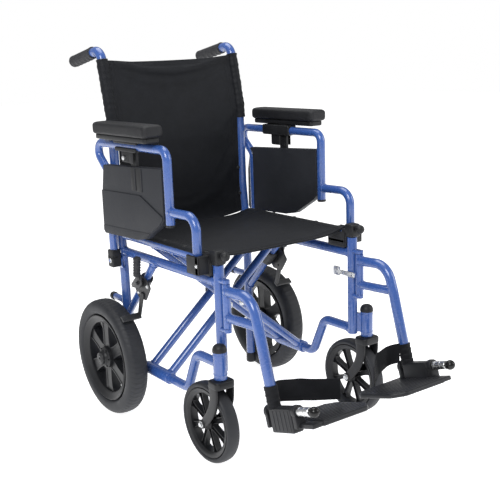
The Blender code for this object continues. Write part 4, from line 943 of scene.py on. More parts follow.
for s, side in SIDES:
    x = s * ARM_X
    pad = piece(f"arm_cushion_{side}", [arm_pad(s)], FOAM, f"pad_{side}", [f"armrest_pad_{side}"], 60)
    tray = rectangle(s * (PAD_X - 0.0215), s * (PAD_X + 0.0215), PAD_FRONT + 0.010, PAD_BACK - 0.006)
    parts = plate(soft_corners(tray, 0.010), 0.7528, PAD_LOW + 0.0005, 0.003, 2)
    slides = [(0.0038, 0.0145, 0.625, 0.756, 0.0012)]
    slides += [(0.0042, 0.0080, z, z + 0.003, 0.0006) for z in 0.640 + 0.009 * np.arange(TEETH)]
    for half, deep, low, high, edge in slides:
        parts += block((x - half, STEM_SLIDE_Y - deep, low), (x + half, STEM_SLIDE_Y + deep, high), edge)
    piece(f"pad_tray_{side}", parts, BLACK_PLASTIC, f"pad_{side}", [f"armrest_stem_{side}"])

# ------------------------------------------------------------------ arm clamps
# Black nylon moulding on the front corner of each side frame: a receiver for the armrest, the
# saddle under the seat rail and the cap over the front post, with a small ball knob in front.
SEAT_RAIL_Z = 0.492
KNOB_Y = -0.4815
KNOB_Z = 0.509
RECEIVER_BLOCKS = (
    # the three walls round the armrest's front leg, and the cap over the post
    ((0.2182, -0.440, 0.4640), (0.2540, -0.4262, 0.5080), 0.0022, 0.004),
    ((0.2182, -0.440, 0.4640), (0.2255, -0.391, 0.5080), 0.0022, 0.004),
    ((0.2485, -0.440, 0.4640), (0.2540, -0.391, 0.5080), 0.0022, 0.004),
    ((0.1935, -0.468, 0.4862), (0.2225, -0.4380, 0.5205), 0.0045, 0.007),
    # the saddle for the seat rail, and the web behind the cap
    ((0.1905, -0.441, UPPER_RAIL_Z + 0.0126), (0.2245, -0.379, 0.4785), 0.0020, 0.004),
    ((0.1905, -0.441, 0.4700), (0.1938, -0.379, 0.4988), 0.0012, 0.002),
    ((0.2202, -0.441, 0.4700), (0.2245, -0.379, 0.4988), 0.0012, 0.002),
    ((0.1935, -0.4445, 0.4600), (0.2225, -0.4285, 0.5060), 0.002, 0.003))


def ball(centre, way, radius):
    """A round knob, from pole to pole along a direction."""
    turn = np.linspace(-math.pi / 2, math.pi / 2, 22)
    path = np.asarray(centre, float) + np.outer(radius * np.sin(turn), way)
    return sweep(path, radius * np.cos(turn), 36)


for s, side in SIDES:
    post_x = s * FRAME_X
    piece(f"arm_receiver_{side}", side_blocks(s, *RECEIVER_BLOCKS), BLACK_PLASTIC, f"frame_{side}",
          [f"arm_clamp_{side}"])
    place = (post_x, KNOB_Y, KNOB_Z)
    knob = [ball(place, (0, 1, 0), 0.0113), rod(place, (post_x, -0.4600, KNOB_Z), 0.0052, 24)]
    piece(f"ball_knob_{side}", knob, BLACK_PLASTIC, f"knob_{side}", [f"clamp_knob_{side}"])
    screws = hexagon((s * 0.2541, -0.4330, 0.4860), (s, 0, 0), 0.0034, 0.0022)
    piece(f"receiver_screw_{side}", screws, ZINC, f"frame_{side}")

# ------------------------------------------------------------------ brakes
# Push-to-lock brake: a pressed plate clamped round the slanted tube, a cranked lever with a rubber
# grip, and a bent shoe bar that swings onto the tyre. Dark-coated steel, riveted joints.
BRAKE_X = 0.241
BRAKE_PIVOT = (-0.124, 0.384)
SHOE_PIVOT = (-0.128, 0.352)
SHOE_PLACE = (-0.1068, 0.2909)
SHOE_TILT = math.radians(39.0)
SHOE_RIBS = 5
BRAKE_OUTLINE = [(-0.166, 0.374), (-0.152, 0.392), (-0.128, 0.402), (-0.098, 0.384),
                 (-0.086, 0.362), (-0.104, 0.340), (-0.140, 0.338)]
LEVER_OUTLINE = [(-0.142, 0.382), (-0.137, 0.410), (-0.125, 0.410), (-0.086, 0.374),
                 (-0.090, 0.366), (-0.124, 0.369)]


def coated_steel():
    """Black e-coated pressings: satin, worn to bare metal along some edges."""
    look = Look("black coated steel")
    cloud = look.noise(45.0, 4.0)
    chips = look.ramp(look.noise(240.0, 6.0, 0.7), (0.66, 0.0), (0.70, 1.0))
    colour = look.mix(cloud, (0.012, 0.0125, 0.014), (0.030, 0.031, 0.033))
    colour = look.mix(chips * 0.6, colour, (0.30, 0.30, 0.30))
    return look.coat(Base_Color=colour, Metallic=chips * 0.8, Roughness=cloud * 0.15 + 0.32,
                     Specular_IOR_Level=0.5, Normal=look.bump(cloud - chips * 0.4, 0.20, 0.0003))


COATED = coated_steel()

for s, side in SIDES:
    by, bz = BRAKE_PIVOT
    sy, sz = SHOE_PIVOT
    parts = plate(soft_corners(BRAKE_OUTLINE, 0.006), s * 0.2225, s * 0.2262, 0.0006)
    start, end = np.array([s * FRAME_X, *BRACE_TOP]), np.array([s * FRAME_X, *BRACE_FOOT])
    along = (end - start) / np.linalg.norm(end - start)
    sleeve = start + along * np.array([[0.070], [0.078], [0.106], [0.114]])
    parts.append(sweep(sleeve, 0.0168, 32, edge=0.0012))
    for reach in (0.078, 0.106):
        place = start + along * reach
        parts.append(rod(place + [s * 0.010, 0, 0], place + [s * 0.0205, 0, 0], 0.0062, 24))
    for place, reach in ((BRAKE_PIVOT, 0.2440), (SHOE_PIVOT, 0.2322)):
        parts.append(rod((s * 0.2225, *place), (s * reach, *place), 0.0040, 20))
    piece(f"brake_plate_{side}", parts, COATED, f"frame_{side}", [f"brake_body_{side}"])
    rivets = hexagon((s * 0.2263, -0.152, 0.377), (s, 0, 0), 0.0040, 0.0026)
    rivets += hexagon((s * 0.2263, -0.104, 0.352), (s, 0, 0), 0.0034, 0.0024)
    piece(f"brake_rivets_{side}", rivets, ZINC, f"frame_{side}")

    parts = plate(soft_corners(LEVER_OUTLINE, 0.004), s * 0.2330, s * 0.2365, 0.0006)
    neck = (s * 0.2372, by - 0.006, bz + 0.010), (s * 0.2420, by - 0.009, bz + 0.040)
    parts.append(rod(*neck, 0.0058, 20))
    parts.append(ring((s * 0.2367, by, bz), (1, 0, 0), 0.0060, 0.0010, 3))
    piece(f"brake_crank_{side}", parts, COATED, f"brake_lever_{side}")
    share = np.linspace(0, 1, 60)
    path = np.column_stack([np.full(60, s * 0.2420), by - 0.006 - 0.008 * share,
                            bz + 0.021 + 0.052 * share])
    waist = 0.0094 + 0.0008 * np.cos(share * math.pi * 14) * (share > 0.15) * (share < 0.8)
    waist = waist + 0.0012 * np.exp(-((share - 0.92) / 0.10) ** 2)
    waist = waist * np.sqrt(np.clip(1 - np.clip((share - 0.88) / 0.125, 0, 1) ** 2, 0, 1))
    piece(f"brake_grip_{side}", [sweep(path, waist, 32)], GRIP_RUBBER, f"brake_lever_{side}",
          [f"brake_lever_{side}"], 50)

    py, pz = SHOE_PLACE
    middle = np.array([s * 0.2293, (sy + py) / 2, (sz + pz) / 2])
    reach = math.hypot(py - sy, pz - sz) / 2
    taper = [(-0.0065, -reach - 0.004), (0.0065, -reach - 0.004), (0.0085, reach + 0.006),
             (-0.0085, reach + 0.006)]
    link = plate(soft_corners(middle[1:] + taper, 0.006), s * 0.2272, s * 0.2312, 0.0006)
    parts = turned_about_x(link, math.atan2(py - sy, sz - pz), middle)
    foot = side_blocks(
        s, ((0.2268, py - 0.0095, pz - 0.0032), (0.2815, py + 0.0095, pz + 0.0032), 0.0012, 0.003),
        *[((at, py - 0.0085, pz - 0.0040), (at + 0.004, py + 0.0085, pz), 0.0006)
          for at in 0.2400 + 0.008 * np.arange(SHOE_RIBS)])
    parts += turned_about_x(foot, SHOE_TILT, (0.0, py, pz))
    piece(f"brake_pad_{side}", parts, COATED, f"brake_shoe_{side}", [f"brake_shoe_{side}"])

# ------------------------------------------------------------------ footrests
# Swing-away hangers hooked on the front posts, each with a steel telescopic tube, a block on its
# foot and a ribbed plate on a hinge pin. A fabric heel loop runs from the tube to the plate.
HANGER_KNEE = (-0.597, 0.372)
HANGER_END = (-0.6405, 0.222)
STRUT_R = 0.0108
KNEE_WEB = [(-0.5860, 0.3640), (-0.5500, 0.3640), (-0.5500, 0.3780), (-0.5860, 0.3860)]
LATCH_PIVOT = (-0.470, 0.392)
FOOT_HINGE = (-0.700, 0.208)
FOOT_TILT = math.radians(17.0)
PLATE_INNER_X = 0.034
PLATE_RIBS = 11
LOOP_HIGH = 0.050
CUFF_R = 0.0148
CLOTH_THICK = 0.0016


def webbing(name, tone, pitch=2600.0):
    """Woven nylon tape: ribs across it, pressed-in dust, a little fuzz catching the light."""
    look = Look(name)
    weave = look.weave(pitch)
    slub = look.ramp(look.noise(60.0, 6.0, 0.65), (0.38, 0.0), (0.70, 1.0))
    light = tuple(shade * 1.7 + 0.002 for shade in tone)
    colour = look.mix(slub * 0.6, tone, light)
    colour = look.mix(look.ramp(weave, (0.0, 0.0), (1.0, 1.0)) * 0.30, colour, light)
    return look.coat(Base_Color=colour, Roughness=slub * 0.12 + 0.72, Specular_IOR_Level=0.22,
                     Sheen_Weight=0.05, Sheen_Roughness=0.45,
                     Normal=look.bump(weave + slub * 0.8, 0.35, 0.0004))


LOOP_CLOTH = webbing("heel loop webbing", (0.0060, 0.0065, 0.0085))
PLATE_PLASTIC = moulded("footplate plastic", (0.0135, 0.0142, 0.0165), 800.0, 0.42, 0.0003)
GLOSSY_BLACK = moulded("glossy black knob", (0.006, 0.006, 0.0065), 260.0, 0.16, 0.00008, 0.15)


def travelled(points, axis=0):
    """How far each point is along its line, from the line's first point."""
    return np.insert(np.linalg.norm(np.diff(points, axis=axis), axis=-1), 0, 0.0, axis).cumsum(axis)


def shell(rows, thick):
    """A sheet with a thickness and closed rims, from the grid of its middle surface."""
    across = np.gradient(rows, axis=0)
    along = np.gradient(rows, axis=1)
    normal = np.cross(across, along)
    normal /= np.linalg.norm(normal, axis=2)[..., None]
    front, back = rows + normal * thick / 2, rows - normal * thick / 2
    stretch = np.stack([travelled(rows, 0), travelled(rows, 1)], 2)
    rims = [grid(np.stack([front[pick], back[pick]]), np.stack([stretch[pick]] * 2))
            for pick in (np.s_[0], np.s_[-1], np.s_[:, 0], np.s_[:, -1])]
    return [grid(front, stretch), grid(back, stretch), *rims]


def stitches(path, pitch=0.0042, size=0.00045):
    """A run of thread: short bars end to end along a path, with gaps between."""
    steps = travelled(path)
    middles = np.arange(pitch / 2, steps[-1] - pitch / 2, pitch)
    ends = [np.column_stack([np.interp(middles + reach, steps, line) for line in path.T])
            for reach in (-pitch * 0.33, pitch * 0.33)]
    return [rod(start, end, size, 5, size * 0.4) for start, end in zip(*ends)]


def footrest_surfaces(surfaces):
    """Surfaces drawn level about the foot hinge, turned to the footrest's tilt."""
    return turned_about_x(surfaces, -FOOT_TILT, (0.0, *FOOT_HINGE))


def foot_block(across, along, above, edge=0.002, corner=None, flat=0):
    """A block in the level footrest: spans across the chair, ahead of the hinge and above it."""
    hy, hz = FOOT_HINGE
    low = (across[0], hy - along[0], hz + above[0])
    return block(low, (across[1], hy - along[1], hz + above[1]), edge, corner, flat)


def on_foot(x, along, above=0.0):
    """A point in the tilted footrest: along it from the hinge, and out of it."""
    hy, hz = FOOT_HINGE
    return np.array([x, hy - along * math.cos(FOOT_TILT) + above * math.sin(FOOT_TILT),
                     hz + along * math.sin(FOOT_TILT) + above * math.cos(FOOT_TILT)])


def plate_outline(s):
    """Plan of the footplate, wide at the hinge, its inner end rounded off at both corners."""
    x, hy = s * FRAME_X, FOOT_HINGE[0]
    outer, inner = x - s * 0.0220, s * PLATE_INNER_X
    corners = [(outer, hy + 0.080), (inner + s * 0.020, hy + 0.074), (inner, hy + 0.052),
               (inner, hy - 0.050), (inner + s * 0.026, hy - 0.078), (outer, hy - 0.078)]
    return soft_corners(corners, [0.004, 0.018, 0.020, 0.020, 0.018, 0.004], 7)


for s, side in SIDES:
    x = s * FRAME_X
    hanger, rest, plate_body = f"hanger_{side}", f"footrest_{side}", f"footplate_{side}"
    knee, end = np.array([x, *HANGER_KNEE]), np.array([x, *HANGER_END])
    route = [(x, HANGER_HINGE_Y, 0.428), (x, -0.575, 0.4335), knee, end]
    down = (end - knee) / np.linalg.norm(end - knee)
    parts = [sweep(bent(route, 0.050, 16), TUBE_R, 32, edge=0.0012),
             rod((x, HANGER_HINGE_Y, 0.3405), (x, HANGER_HINGE_Y, 0.4455), 0.0096, 32, 0.001),
             rod((x, HANGER_HINGE_Y, 0.366), knee, STRUT_R, 32),
             ring((x, HANGER_HINGE_Y - 0.0098, 0.4285), (0, 1, 0), TUBE_R - 0.0005, WELD_R),
             ring((x, HANGER_HINGE_Y - 0.0098, 0.3665), (0, 1, 0), STRUT_R, 0.0013)]
    parts += plate(soft_corners(KNEE_WEB, 0.004), x - 0.0032, x + 0.0032, 0.001)
    piece(f"hanger_tube_{side}", parts, ENAMEL, hanger, [f"hanger_{side}"])
    ly, lz = LATCH_PIVOT
    arm = [(ly - 0.008, lz - 0.007), (ly + 0.050, lz - 0.0055), (ly + 0.050, lz + 0.0055),
           (ly - 0.008, lz + 0.007)]
    thumb = rectangle(ly + 0.043, ly + 0.0655, lz - 0.0085, lz + 0.0145)
    lever = plate(soft_corners(arm, 0.004), x - s * 0.0178, x - s * 0.0140, 0.0006)
    lever += plate(soft_corners(thumb, 0.003), x - s * 0.0220, x - s * 0.0172, 0.0008)
    lever.append(rod((x - s * 0.0125, ly, lz), (x - s * 0.0192, ly, lz), 0.0042, 24))
    lever.append(ring((x - s * 0.0215, ly + 0.054, lz + 0.003), (1, 0, 0), 0.0050, 0.0010, 3))
    piece(f"latch_lever_{side}", lever, ZINC, f"latch_{side}", [f"hanger_latch_{side}"])

    steel = [sweep(np.array([end - down * 0.080, end + down * 0.030]), 0.0095, 28)]
    piece(f"length_tube_{side}", steel, ZINC, rest)
    body, lid = (x - 0.0138, x + 0.0138), (x - 0.0122, x + 0.0122)
    parts = foot_block(body, (-0.0600, 0.0180), (-0.0450, 0.0090), 0.0028, 0.005)
    for near in -0.048 + 0.0135 * np.arange(5):
        rib = (x + s * 0.0130, x + s * 0.0146)
        parts += foot_block(rib, (near, near + 0.0035), (-0.0400, 0.0040), 0.0005)
    parts += foot_block(lid, (-0.0590, 0.0170), (0.0080, 0.0100), 0.0008)
    parts = footrest_surfaces(parts)
    parts.append(sweep(np.array([end - down * 0.004, end + down * 0.022]), 0.0126, 28, edge=0.002))
    piece(f"foot_block_{side}", parts, PLATE_PLASTIC, rest, [f"footrest_tube_{side}"])

    pin = f"foot_pin_{side}"
    parts = [rod(on_foot(x, -0.084), on_foot(x, 0.078), 0.0058, 24)]
    share = np.linspace(0, 1, 40)
    grooves = 0.0104 - 0.0005 * (np.abs((share * 2.4) % 1 - 0.5) < 0.05)
    grooves[[0, -1]] = 0.0094
    collar = np.linspace(on_foot(x, 0.032), on_foot(x, 0.072), len(share))
    parts.append(sweep(collar, grooves, 32))
    piece(f"hinge_pin_{side}", parts, ZINC, pin, [f"footplate_pin_{side}"])
    knob = ball(on_foot(x, 0.0824), on_foot(x, 1.0) - on_foot(x, 0.0), 0.0118)
    neck = rod(on_foot(x, 0.068), on_foot(x, 0.078), 0.0075, 28)
    piece(f"hinge_knob_{side}", [knob, neck], GLOSSY_BLACK, pin)

    hy, hz = FOOT_HINGE
    outline = plate_outline(s)
    parts = plate(outline, hz - 0.0358, hz - 0.0262, 0.0026, 2)
    parts += plate(inset(outline, 0.0030), hz - 0.0275, hz - 0.0244, 0.0008, 2)
    for i in range(PLATE_RIBS):
        y = hy + 0.066 - 0.0130 * i
        inner = PLATE_INNER_X + 0.010 + (0.012 if min(i, PLATE_RIBS - 1 - i) < 2 else 0.003)
        parts += block((x - s * 0.030, y - 0.0022, hz - 0.0252),
                       (s * inner, y + 0.0022, hz - 0.0236), 0.0006)
    for at in 0.060 + 0.028 * np.arange(5):
        parts += block((s * at - 0.0012, hy + 0.068, hz - 0.0372),
                       (s * at + 0.0012, hy - 0.066, hz - 0.0350), 0.0004)
    ear, root, bridge = ((x - 0.0128, x + 0.0128), (x - s * 0.030, x + s * 0.006),
                         (x - s * 0.030, x + s * 0.004))
    for near, far in ((-0.0780, -0.0690), (0.0190, 0.0310)):
        parts += foot_block(ear, (near, far), (-0.0350, 0.0), 0.0014, 0.002, 1)
        parts += foot_block(root, (near, far), (-0.0358, -0.0245), 0.0014, 0.002, 1)
        parts.append(rod((x, hy - near, hz), (x, hy - far, hz), 0.0148, 32, 0.0012))
    parts += foot_block(bridge, (0.030, 0.0745), (-0.0358, -0.0250), 0.002, 0.004)
    piece(f"foot_plate_{side}", footrest_surfaces(parts), PLATE_PLASTIC, plate_body,
          [f"footplate_{side}"])

    cuff = np.linspace(0, 1, 26)
    wrap = end - down * (0.0255 - LOOP_HIGH * cuff[:, None])
    rumple = CUFF_R + 0.0005 * np.sin(cuff * 23.0 + s) + 0.0004 * np.cos(cuff * 47.0)
    rumple[[0, 1, -2, -1]] += 0.0006
    faces = [sweep(wrap, rumple - inwards, 40) for inwards in (0.0, CLOTH_THICK)]
    sleeve = piece(f"loop_sleeve_{side}", faces, LOOP_CLOTH, rest, [f"heel_loop_{side}"], 60)
    corners = [(x - s * 0.0135, -0.633, 0.0), (x - s * 0.030, -0.616, 0.0), (s * 0.118, -0.634, 0.0),
               (s * 0.052, -0.688, 0.0)]
    band = bent(corners, 0.030, 10)
    share = travelled(band) / travelled(band)[-1]
    t, w = np.meshgrid(np.linspace(0, 1, 64), np.linspace(0, 1, 18), indexing="ij")
    bulge = np.sin(math.pi * t)
    crease = 0.0012 * np.sin(9.0 * t + 4.0 * w) * bulge
    crease = crease + 0.0016 * np.sin(26.0 * t - 5 * w) * t * (1 - t)
    rows = np.stack([np.interp(t, share, band[:, 0]),
                     np.interp(t, share, band[:, 1]) + crease + 0.006 * w * bulge,
                     0.2000 - 0.0065 * bulge - 0.010 * t + LOOP_HIGH * w], 2)
    split = 22
    for name, part, one, two, near, far in (("outer", rows[:split + 1], rest, pin, 0.186, 0.150),
                                            ("inner", rows[split:], pin, plate_body, 0.142, 0.062)):
        loop = piece(f"loop_{name}_{side}", shell(part, CLOTH_THICK), LOOP_CLOTH, sharp=70)
        long = float(travelled(part[:, 9])[-1])
        s * near
        s * far
        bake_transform(loop)

# ------------------------------------------------------------------ cross brace
# Two scissor frames, each a pair of blue tubes from a sleeve on the lower rail up to the seat rail
# of the other side, bolted where they cross. Their seat rails rest in the clamps' saddles.
ARM_A_Y = (-0.110, -0.198)
ARM_B_Y = (-0.154, -0.242)
CROSS_R = 0.0110
SEAT_RAIL_BACK = -0.022
SEAT_RAIL_FRONT = -0.425

for name, s, rows_y in (("cross_arm_a", -1, ARM_A_Y), ("cross_arm_b", 1, ARM_B_Y)):
    body = name.replace("arm_", "")
    low = np.array([s * FRAME_X, 0.0, LOWER_RAIL_Z])
    high = np.array([-s * FRAME_X, 0.0, SEAT_RAIL_Z])
    lean = (high - low) / np.linalg.norm(high - low)
    rail = [(high[0], end, high[2]) for end in (SEAT_RAIL_FRONT, SEAT_RAIL_BACK)]
    parts = [rod(*rail, TUBE_R, 36, 0.0012)]
    sleeve = [(low[0], y, low[2]) for y in (rows_y[1] - 0.014, rows_y[0] + 0.014)]
    parts.append(rod(*sleeve, 0.0164, 36, 0.0014))
    for y in rows_y:
        parts.append(rod(low + [0, y, 0], high + [0, y, 0], CROSS_R, 32))
        parts.append(ring(low + lean * 0.0160 + [0, y, 0], lean, CROSS_R + 0.0004, 0.0014))
        parts.append(ring(high - lean * 0.0122 + [0, y, 0], lean, CROSS_R + 0.0002, 0.0013))
    piece(f"{name}_tubes", parts, ENAMEL, body, [name])
    plugs = [rod((high[0], end - way * 0.0008, high[2]), (high[0], end + way * 0.003, high[2]),
                 0.0121, 32) for end, way in ((SEAT_RAIL_FRONT, 1), (SEAT_RAIL_BACK, -1))]
    piece(f"{name}_plugs", plugs, BLACK_PLASTIC, body)

centre = np.array([0.0, 0.0, (LOWER_RAIL_Z + SEAT_RAIL_Z) / 2])
bolt = [rod(centre + [0, -0.258, 0], centre + [0, -0.092, 0], 0.0049, 24)]
for y, way in ((-0.2550, -1), (-0.0945, 1)):
    bolt += hexagon(centre + [0, y, 0], (0, way, 0), 0.0090, 0.0058)
    bolt.append(rod(centre + [0, y - way * 0.0016, 0], centre + [0, y, 0], 0.0112, 32, 0.0003))
piece("cross_bolt", bolt, ZINC, "cross_a")

# ------------------------------------------------------------------ seat sling
# Black woven nylon screwed to the top of both seat rails. It is a simulated sheet: held along the
# rails, a little shorter than flat, sagging under its own weight, with a sewn hem in front.
SEAT_HALF = 0.2192
SEAT_HELD = 0.200
SEAT_DROP = 0.014
SEAT_Z = 0.5066
SLING_THICK = 0.0022


def woven(name, tone, light, pitch=2300.0):
    """Coated nylon cloth: fine basket weave, slubs, creases rubbed lighter, a soft sheen."""
    look = Look(name)
    weave = look.weave(pitch)
    slub = look.ramp(look.noise(34.0, 7.0, 0.68), (0.40, 0.0), (0.66, 1.0))
    rubbed = look.ramp(look.noise(6.0, 3.0), (0.42, 0.0), (0.72, 1.0))
    colour = look.mix(slub * 0.45 + rubbed * 0.35, tone, light)
    colour = look.mix(look.ramp(weave, (0.0, 0.0), (1.0, 1.0)) * 0.25, colour, light)
    return look.coat(Base_Color=colour, Roughness=rubbed * 0.10 + 0.60, Specular_IOR_Level=0.22,
                     Sheen_Weight=0.04, Sheen_Roughness=0.40,
                     Normal=look.bump(weave + slub, 0.30, 0.0004))


SLING_CLOTH = woven("sling nylon", (0.0042, 0.0050, 0.0072), (0.0090, 0.0103, 0.0135))
THREAD = webbing("sewing thread", (0.010, 0.0105, 0.013), 9000.0)


def hung(rows, held, shrink, frames, gravity=1.0):
    """The grid of a cloth after it has hung from the points that are held."""
    count, wide = rows.shape[:2]
    index = np.arange(count * wide).reshape(count, wide)
    mesh = bpy.data.meshes.new("hanging")
    mesh.from_pydata(rows.reshape(-1, 3).tolist(), [], quads_of(index).tolist())
    made = bpy.data.objects.new("hanging", mesh)
    bpy.context.scene.collection.objects.link(made)
    group = made.vertex_groups.new(name="held")
    group.add([int(i) for i in index[held]], 1.0, "REPLACE")
    cloth = made.modifiers.new("cloth", "CLOTH")
    cloth.settings.vertex_group_mass = "held"
    cloth.settings.quality = 8
    cloth.settings.mass = 0.30
    cloth.settings.tension_stiffness = 40
    cloth.settings.compression_stiffness = 40
    cloth.settings.shear_stiffness = 12
    cloth.settings.bending_stiffness = 0.6
    cloth.settings.shrink_min = shrink
    cloth.settings.effector_weights.gravity = gravity
    cloth.collision_settings.use_collision = False
    cloth.point_cache.frame_end = frames
    for frame in range(1, frames + 1):
        bpy.context.scene.frame_set(frame)
    ready = made.evaluated_get(bpy.context.evaluated_depsgraph_get()).to_mesh()
    settled = np.empty(count * wide * 3)
    ready.vertices.foreach_get("co", settled)
    bpy.context.scene.frame_set(1)
    bpy.data.objects.remove(made)
    return settled.reshape(rows.shape)


across = np.concatenate([np.linspace(-SEAT_HALF, -SEAT_HELD, 6)[:-1],
                         np.linspace(-SEAT_HELD, SEAT_HELD, 81),
                         np.linspace(SEAT_HELD, SEAT_HALF, 6)[1:]])
along = np.linspace(SEAT_RAIL_FRONT, -0.0205, 80)
x, y = np.meshgrid(across, along, indexing="ij")
tongue = np.clip((0.197 - np.abs(x)) / 0.009, 0, 1)
y = y + 0.0235 * tongue * np.clip((y + 0.080) / 0.0595, 0, 1)
ease = np.clip(1 - np.abs(x) / SEAT_HELD, 0, 1)
sag = SEAT_DROP * 0.45 * ease ** 0.8
over = np.clip((np.abs(x) - FRAME_X) / (SEAT_HALF - FRAME_X), 0, 1)
start = np.stack([x, y, SEAT_Z - sag - 0.0062 * over ** 2], 2)
seat_rows = hung(start, np.abs(x) > SEAT_HELD - 0.001, -0.003, 26)
# the first 4 mm of fall stay as they hang, and the rest levels off at SEAT_DROP
fall, free = SEAT_Z - seat_rows[..., 2], 0.004
levelled = free + (SEAT_DROP - free) * np.tanh((fall - free) / (SEAT_DROP - free))
seat_rows[..., 2] = SEAT_Z - np.where(fall > free, levelled, fall)
seat = piece("seat_cloth", shell(seat_rows, SLING_THICK), SLING_CLOTH, stands_for=["seat_sling"],
             sharp=70)
hem = seat_rows[4:-4, :1]
turned_under = [hem + [0, ahead, drop] for ahead, drop in (
    (-0.0006, 0.0002), (-0.0018, -0.0010), (-0.0008, -0.0026), (0.0050, -0.0024), (0.0140, -0.0022))]
seat_hem = piece("seat_hem", [grid(np.concatenate(turned_under, 1))], SLING_CLOTH, sharp=70)
seams = []
for inside in (0.012, 0.020):
    line = np.array([[np.interp(SEAT_RAIL_FRONT + inside, row[:, 1], value) for value in row.T]
                     for row in seat_rows])
    seams += stitches(line + [0, 0, 0.0013])
for i in (7, -8):
    seams += stitches(seat_rows[i] + [0, 0, 0.0013])
seat_seams = piece("seat_seams", seams, THREAD, sharp=70)
for part in (seat, seat_hem, seat_seams):
    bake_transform(part)
float(travelled(seat_rows[:, 40])[-1])
for s, side in SIDES:
    x = s * FRAME_X
    screws = [rod((x, y, 0.5060), (x, y, 0.5090), 0.0052, 24, 0.0012)
              for y in -0.405 + 0.091 * np.arange(5)]
    piece(f"seat_screws_{side}", screws, COATED, "cross_a" if s > 0 else "cross_b")

# ------------------------------------------------------------------ back sling
# The same nylon between the canes: a panel that hangs from two sewn sleeves pulled down over them.
# The panel is simulated, slightly slack, with a hem along the top and a seam beside each sleeve.
BACK_HALF = 0.1935
SLEEVE_FOOT = 0.7700
SLEEVE_TOP = 0.9460
BACK_FOOT = 0.5000
BACK_TOP = 0.9430


def cane_y(z):
    """How far behind the axle line the cane is, at a height."""
    return np.interp(z, [corner[1] for corner in CANE], [corner[0] for corner in CANE])


across = np.linspace(-BACK_HALF, BACK_HALF, 86)
up = np.linspace(0, 1, 96)
x, t = np.meshgrid(across, up, indexing="ij")
edge = np.abs(x) / BACK_HALF
top = BACK_TOP - 0.003 * (1 - edge ** 2)
foot = BACK_FOOT - 0.0110 * (1 - edge ** 4)
z = foot + (top - foot) * t
slack = (1 - edge ** 2) * (0.0035 + 0.0030 * np.sin(math.pi * t))
start = np.stack([x, cane_y(z) - 0.0040 + slack, z], 2)
back_rows = hung(start, edge > 0.985, -0.001, 24, 0.15)
back_rows[..., 1:] = start[..., 1:] + np.clip(back_rows[..., 1:] - start[..., 1:], -0.004, 0.006)
panel = piece("back_cloth", shell(back_rows, SLING_THICK), SLING_CLOTH, "frame_r", ["back_sling"],
              70)

folded = [back_rows[:, -1:] + [0, ahead, rise] for ahead, rise in (
    (-0.0016, -0.0160), (-0.0020, -0.0030), (-0.0012, 0.0010), (0.0012, 0.0010), (0.0020, -0.0030),
    (0.0016, -0.0160))]
back_hem = piece("back_hem", [grid(np.concatenate(folded, 1))], SLING_CLOTH, "frame_r", sharp=70)
seams = []
for drop in (3, 5):
    seams += stitches(back_rows[:, -drop] + [0, -0.0022, 0])
for i in (2, 4, -3, -5):
    seams += stitches(back_rows[i] + [0, -0.0014, 0])
back_seams = piece("back_seams", seams, THREAD, "frame_r", sharp=70)
for part in (panel, back_hem, back_seams):
    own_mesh(part)
wide, high = (float(travelled(line)[-1]) for line in (back_rows[:, 48], back_rows[43]))
for s, side in SIDES:
    share = np.linspace(0, 1, 80)
    z = SLEEVE_FOOT + (SLEEVE_TOP - SLEEVE_FOOT) * share
    centre = np.column_stack([np.full(80, s * FRAME_X), cane_y(z), z])
    loose = 0.0150 + 0.0006 * np.sin(share * 31.0 + s * 0.7) * np.sin(share * 9.0)
    loose = loose + 0.0004 * np.sin(share * 71.0)
    loose[[0, 1, -2, -1]] += 0.0005
    faces = [sweep(centre, loose - inwards, 48) for inwards in (0.0, CLOTH_THICK)]
    sleeve = piece(f"cane_sleeve_{side}", faces, SLING_CLOTH, f"frame_{side}", sharp=60)
    screws = [rod((s * 0.1900, cane_y(z0) - 0.0046, z0), (s * 0.1900, cane_y(z0) - 0.0082, z0),
                  0.0050, 24, 0.0012) for z0 in (0.552, 0.626)]
    piece(f"back_screws_{side}", screws, COATED, f"frame_{side}")

# ------------------------------------------------------------------ view
# Plain white studio: a pale floor, big soft lights from above left and behind, and the camera.
CAMERA_PLACE = (-1.28453, -2.04154 + AXLE_Y, 0.95763)
CAMERA_RIGHT = Vector((0.81170, -0.58275, -0.03922)).normalized()
CAMERA_AHEAD = Vector((0.55742, 0.79297, -0.24591)).normalized()


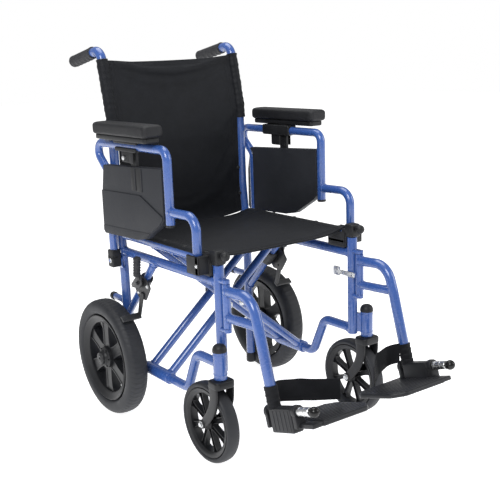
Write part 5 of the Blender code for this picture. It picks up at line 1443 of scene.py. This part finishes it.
def studio_floor():
    look = Look("pale studio floor")
    cloud = look.noise(1.3)
    return look.coat(Base_Color=look.mix(cloud, (0.86, 0.86, 0.87), (0.90, 0.90, 0.90)),
                     Roughness=cloud * 0.05 + 0.20, Specular_IOR_Level=0.25,
                     Emission_Color=(1.0, 1.0, 1.0), Emission_Strength=0.85)


bpy.ops.mesh.primitive_plane_add(size=24.0, location=(0, 4.0, -0.0005))
floor = bpy.context.object
floor.name = "studio_floor"
floor.data.materials.append(studio_floor())

world = bpy.data.worlds.new("white studio")
bpy.context.scene.world = world
world.use_nodes = True
backdrop = world.node_tree.nodes["Background"]
backdrop.inputs["Color"].default_value = (1.0, 1.0, 1.0, 1.0)
rays = world.node_tree.nodes.new("ShaderNodeLightPath")
seen = world.node_tree.nodes.new("ShaderNodeMapRange")
seen.inputs["To Min"].default_value = 0.40
seen.inputs["To Max"].default_value = 1.0
world.node_tree.links.new(rays.outputs["Is Camera Ray"], seen.inputs["Value"])
world.node_tree.links.new(seen.outputs["Result"], backdrop.inputs["Strength"])


def lamp(name, place, aim, size, watts):
    """A square soft light at a place, turned to a point."""
    light = bpy.data.lights.new(name, "AREA")
    light.energy = watts
    light.size = size
    holder = bpy.data.objects.new(name, light)
    holder.location = place
    holder.rotation_mode = "QUATERNION"
    holder.rotation_quaternion = (Vector(aim) - Vector(place)).to_track_quat("-Z", "Y")
    bpy.context.scene.collection.objects.link(holder)


lamp("key", (-2.2, -1.6, 2.6), (0, 0, 0.4), 1.6, 75.0)
lamp("fill", (2.4, -2.2, 1.8), (0, 0, 0.4), 1.8, 35.0)
lamp("top", (0.0, 0.6, 3.0), (0, 0, 0.4), 2.0, 45.0)

camera = bpy.data.objects.new("camera", bpy.data.cameras.new("camera"))
up = CAMERA_RIGHT.cross(CAMERA_AHEAD)
turn = Matrix((CAMERA_RIGHT, up, -CAMERA_AHEAD)).transposed()
camera.matrix_world = Matrix.Translation(CAMERA_PLACE) @ turn.to_4x4()
camera.data.sensor_width = 36.0
camera.data.lens = 62.6
camera.data.shift_x = 0.0348
camera.data.shift_y = 0.0412
bpy.context.scene.collection.objects.link(camera)
bpy.context.scene.camera = camera
bpy.context.scene.view_settings.view_transform = "Standard"
